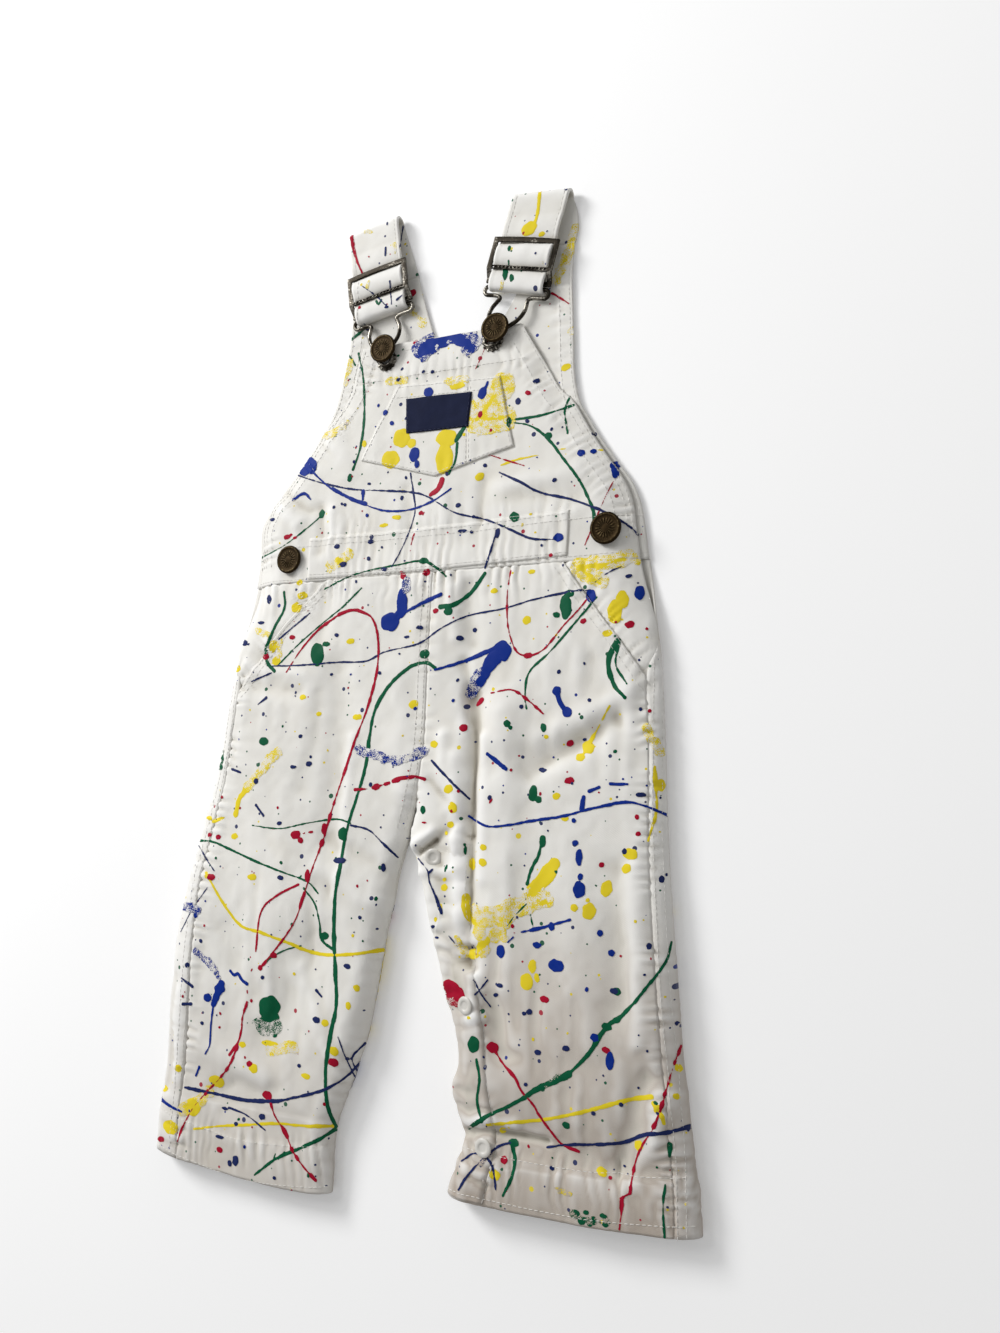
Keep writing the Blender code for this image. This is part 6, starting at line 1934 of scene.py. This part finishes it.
thread = Finish("white_thread", 0.7, sheen=0.2)
tone = thread.noise(260.0, 2.0)
thread.colour(thread.mix(tone, (0.66, 0.64, 0.59, 1.0), (0.84, 0.83, 0.80, 1.0)))
thread.bump(thread.noise(1800.0, 1.0), 0.0001, 0.6)
navy_thread = Finish("navy_thread", 0.75)
tone = navy_thread.noise(260.0)
navy_thread.colour(navy_thread.mix(tone, (0.012, 0.018, 0.055, 1.0), (0.03, 0.04, 0.10, 1.0)))


def straight_rows(corners, inset):
    """Straight rows round a patch, a little in from its edges."""
    corners = np.array(corners)
    middle = corners.mean(0)
    away = corners - middle
    inner = middle + away * (1.0 - inset / np.linalg.norm(away, axis=1, keepdims=True))
    return [[a, b] for a, b in zip(inner, np.roll(inner, -1, 0))]


top_rows = []
for side in (LEFT, RIGHT):
    top_rows += [beside(outseam(side), side * -1.6), beside(outseam(side), side * -5.6)]
    top_rows += [beside(SLANT_LINES[side], side * 1.6), beside(SLANT_LINES[side], side * 5.4)]
    top_rows += [HEM_LINES[side], beside(HEM_LINES[side], -1.0) - (0.0, 20.0)]
    top_rows += [arm_line(side, ARMHOLE_HEM - 1.2), arm_line(side, 1.8)]
    top_rows += [yoke_line(side, YOKE_HEM - 1.2), yoke_line(side, 1.8)]
top_rows += [beside(CENTRE_LINE, 2.0), beside(CENTRE_LINE, 5.6)]
top_rows += [beside(WAIST_LINE, 2.2), beside(WAIST_LINE, 22.0), PLACKET_LINE]
top_rows += [[(-56.0, TOP_HEM + 1.6), (50.0, TOP_HEM - 0.6)], [(-54.0, 490.5), (44.0, 487.0)]]
top_rows += [[(-84.0, 378.6), (0.0, 378.2), (80.0, 379.6)], [(-83.0, 358.0), (0.0, 357.4), (79.0, 359.0)]]
pocket_corners = [POCKET_TOP[0], POCKET_TOP[1], POCKET_FOOT[2], POCKET_FOOT[1], POCKET_FOOT[0]]
top_rows += straight_rows(pocket_corners, 1.8) + [[(-33.0, 460.5), (37.0, 455.5)]]
for low_end, high_end in (((18.5, 415.0), (18.0, 434.0)), ((17.2, 458.5), (17.0, 463.5))):
    top_rows += [beside([low_end, high_end], shift) for shift in (0.9, -0.9)]
top_rows += strap_lines
sew("stitching_front", top_rows, material=thread.material)
label_corners = [LABEL_TOP[0], LABEL_TOP[1], LABEL_FOOT[1], LABEL_FOOT[0]]
sew("stitching_label", straight_rows(label_corners, 1.3), material=navy_thread.material, radius=0.16)

under_rows = [[(-2.2, 222.0), (-2.2, 352.0)], [(-5.4, 222.0), (-5.4, 352.0)], [(-2.0, 358.0), (-2.0, 462.0)]]
under_rows += [[(-124.0, 351.5), (118.0, 351.5)], [(-124.0, 356.5), (118.0, 356.5)]]
under_rows += [[(-176.0, 38.0), (-52.0, 32.0)], [(24.0, 52.0), (150.0, 58.0)]]
for side in (LEFT, RIGHT):
    under_rows += [yoke_line(side, 2.0), yoke_line(side, YOKE_HEM)]
    foot, head = (side * (YOKE_INNER[side][i][1] + 2.5) for i in (2, -1))
    under_rows.append([(foot, 474.0), (head, 533.0)])
sew("stitching_back", under_rows, from_above=False, material=thread.material)


# ----------------------------------------------------------- camera and light
# The overalls lie on a plain pale table. A large soft lamp hangs over their
# upper left, and the room's light fills the rest.
eye = Vector((0.27521, 0.23649, 0.48036)) + Vector(ORIGIN * MM)
view = bpy.data.cameras.new("view")
view.sensor_fit = "AUTO"
view.sensor_width = 36.0
view.lens = 27.007
view.clip_start = 0.01
camera = stand("view", view)
camera.location = eye
camera.rotation_euler = [math.radians(angle) for angle in (7.714, 26.033, 1.843)]
bpy.context.scene.camera = camera

table = Finish("pale_table", 0.9)
table.colour(table.mix(table.noise(3.0), (0.86, 0.86, 0.86, 1.0), (0.88, 0.88, 0.88, 1.0)))
path = table.node("ShaderNodeLightPath", {}, [], "Is Camera Ray")
glossy = Socket(table, path.link.node.outputs["Is Glossy Ray"])
seen = path + glossy
table.tree.links.new((seen * 0.18).link, table.shader.inputs["Emission Strength"])
table.shader.inputs["Emission Color"].default_value = (1.0, 1.0, 1.0, 1.0)
bpy.ops.mesh.primitive_plane_add(size=6.0, location=(0.0, 0.0, -0.0003))
floor = bpy.context.object
floor.name = "table_top"
floor.data.materials.append(table.material)

LAMPS = {"key": ((-1.45, 1.20, 1.12), 0.72, 36.0), "top": ((-0.66, 0.60, 1.15), 0.60, 4.0)}
for name, (place, size, power) in LAMPS.items():
    light = bpy.data.lights.new(name, "AREA")
    light.shape = "DISK"
    light.size = size
    light.energy = power
    lamp = stand(name, light)
    lamp.location = place
    lamp.rotation_euler = (Vector((0.0, 0.0, 0.0)) - lamp.location).to_track_quat("-Z", "Y").to_euler()

world = bpy.data.worlds.new("room")
bpy.context.scene.world = world
world.use_nodes = True
world.node_tree.nodes["Background"].inputs["Color"].default_value = (1.0, 1.0, 1.0, 1.0)
world.node_tree.nodes["Background"].inputs["Strength"].default_value = 0.36
bpy.context.scene.view_settings.view_transform = "Standard"
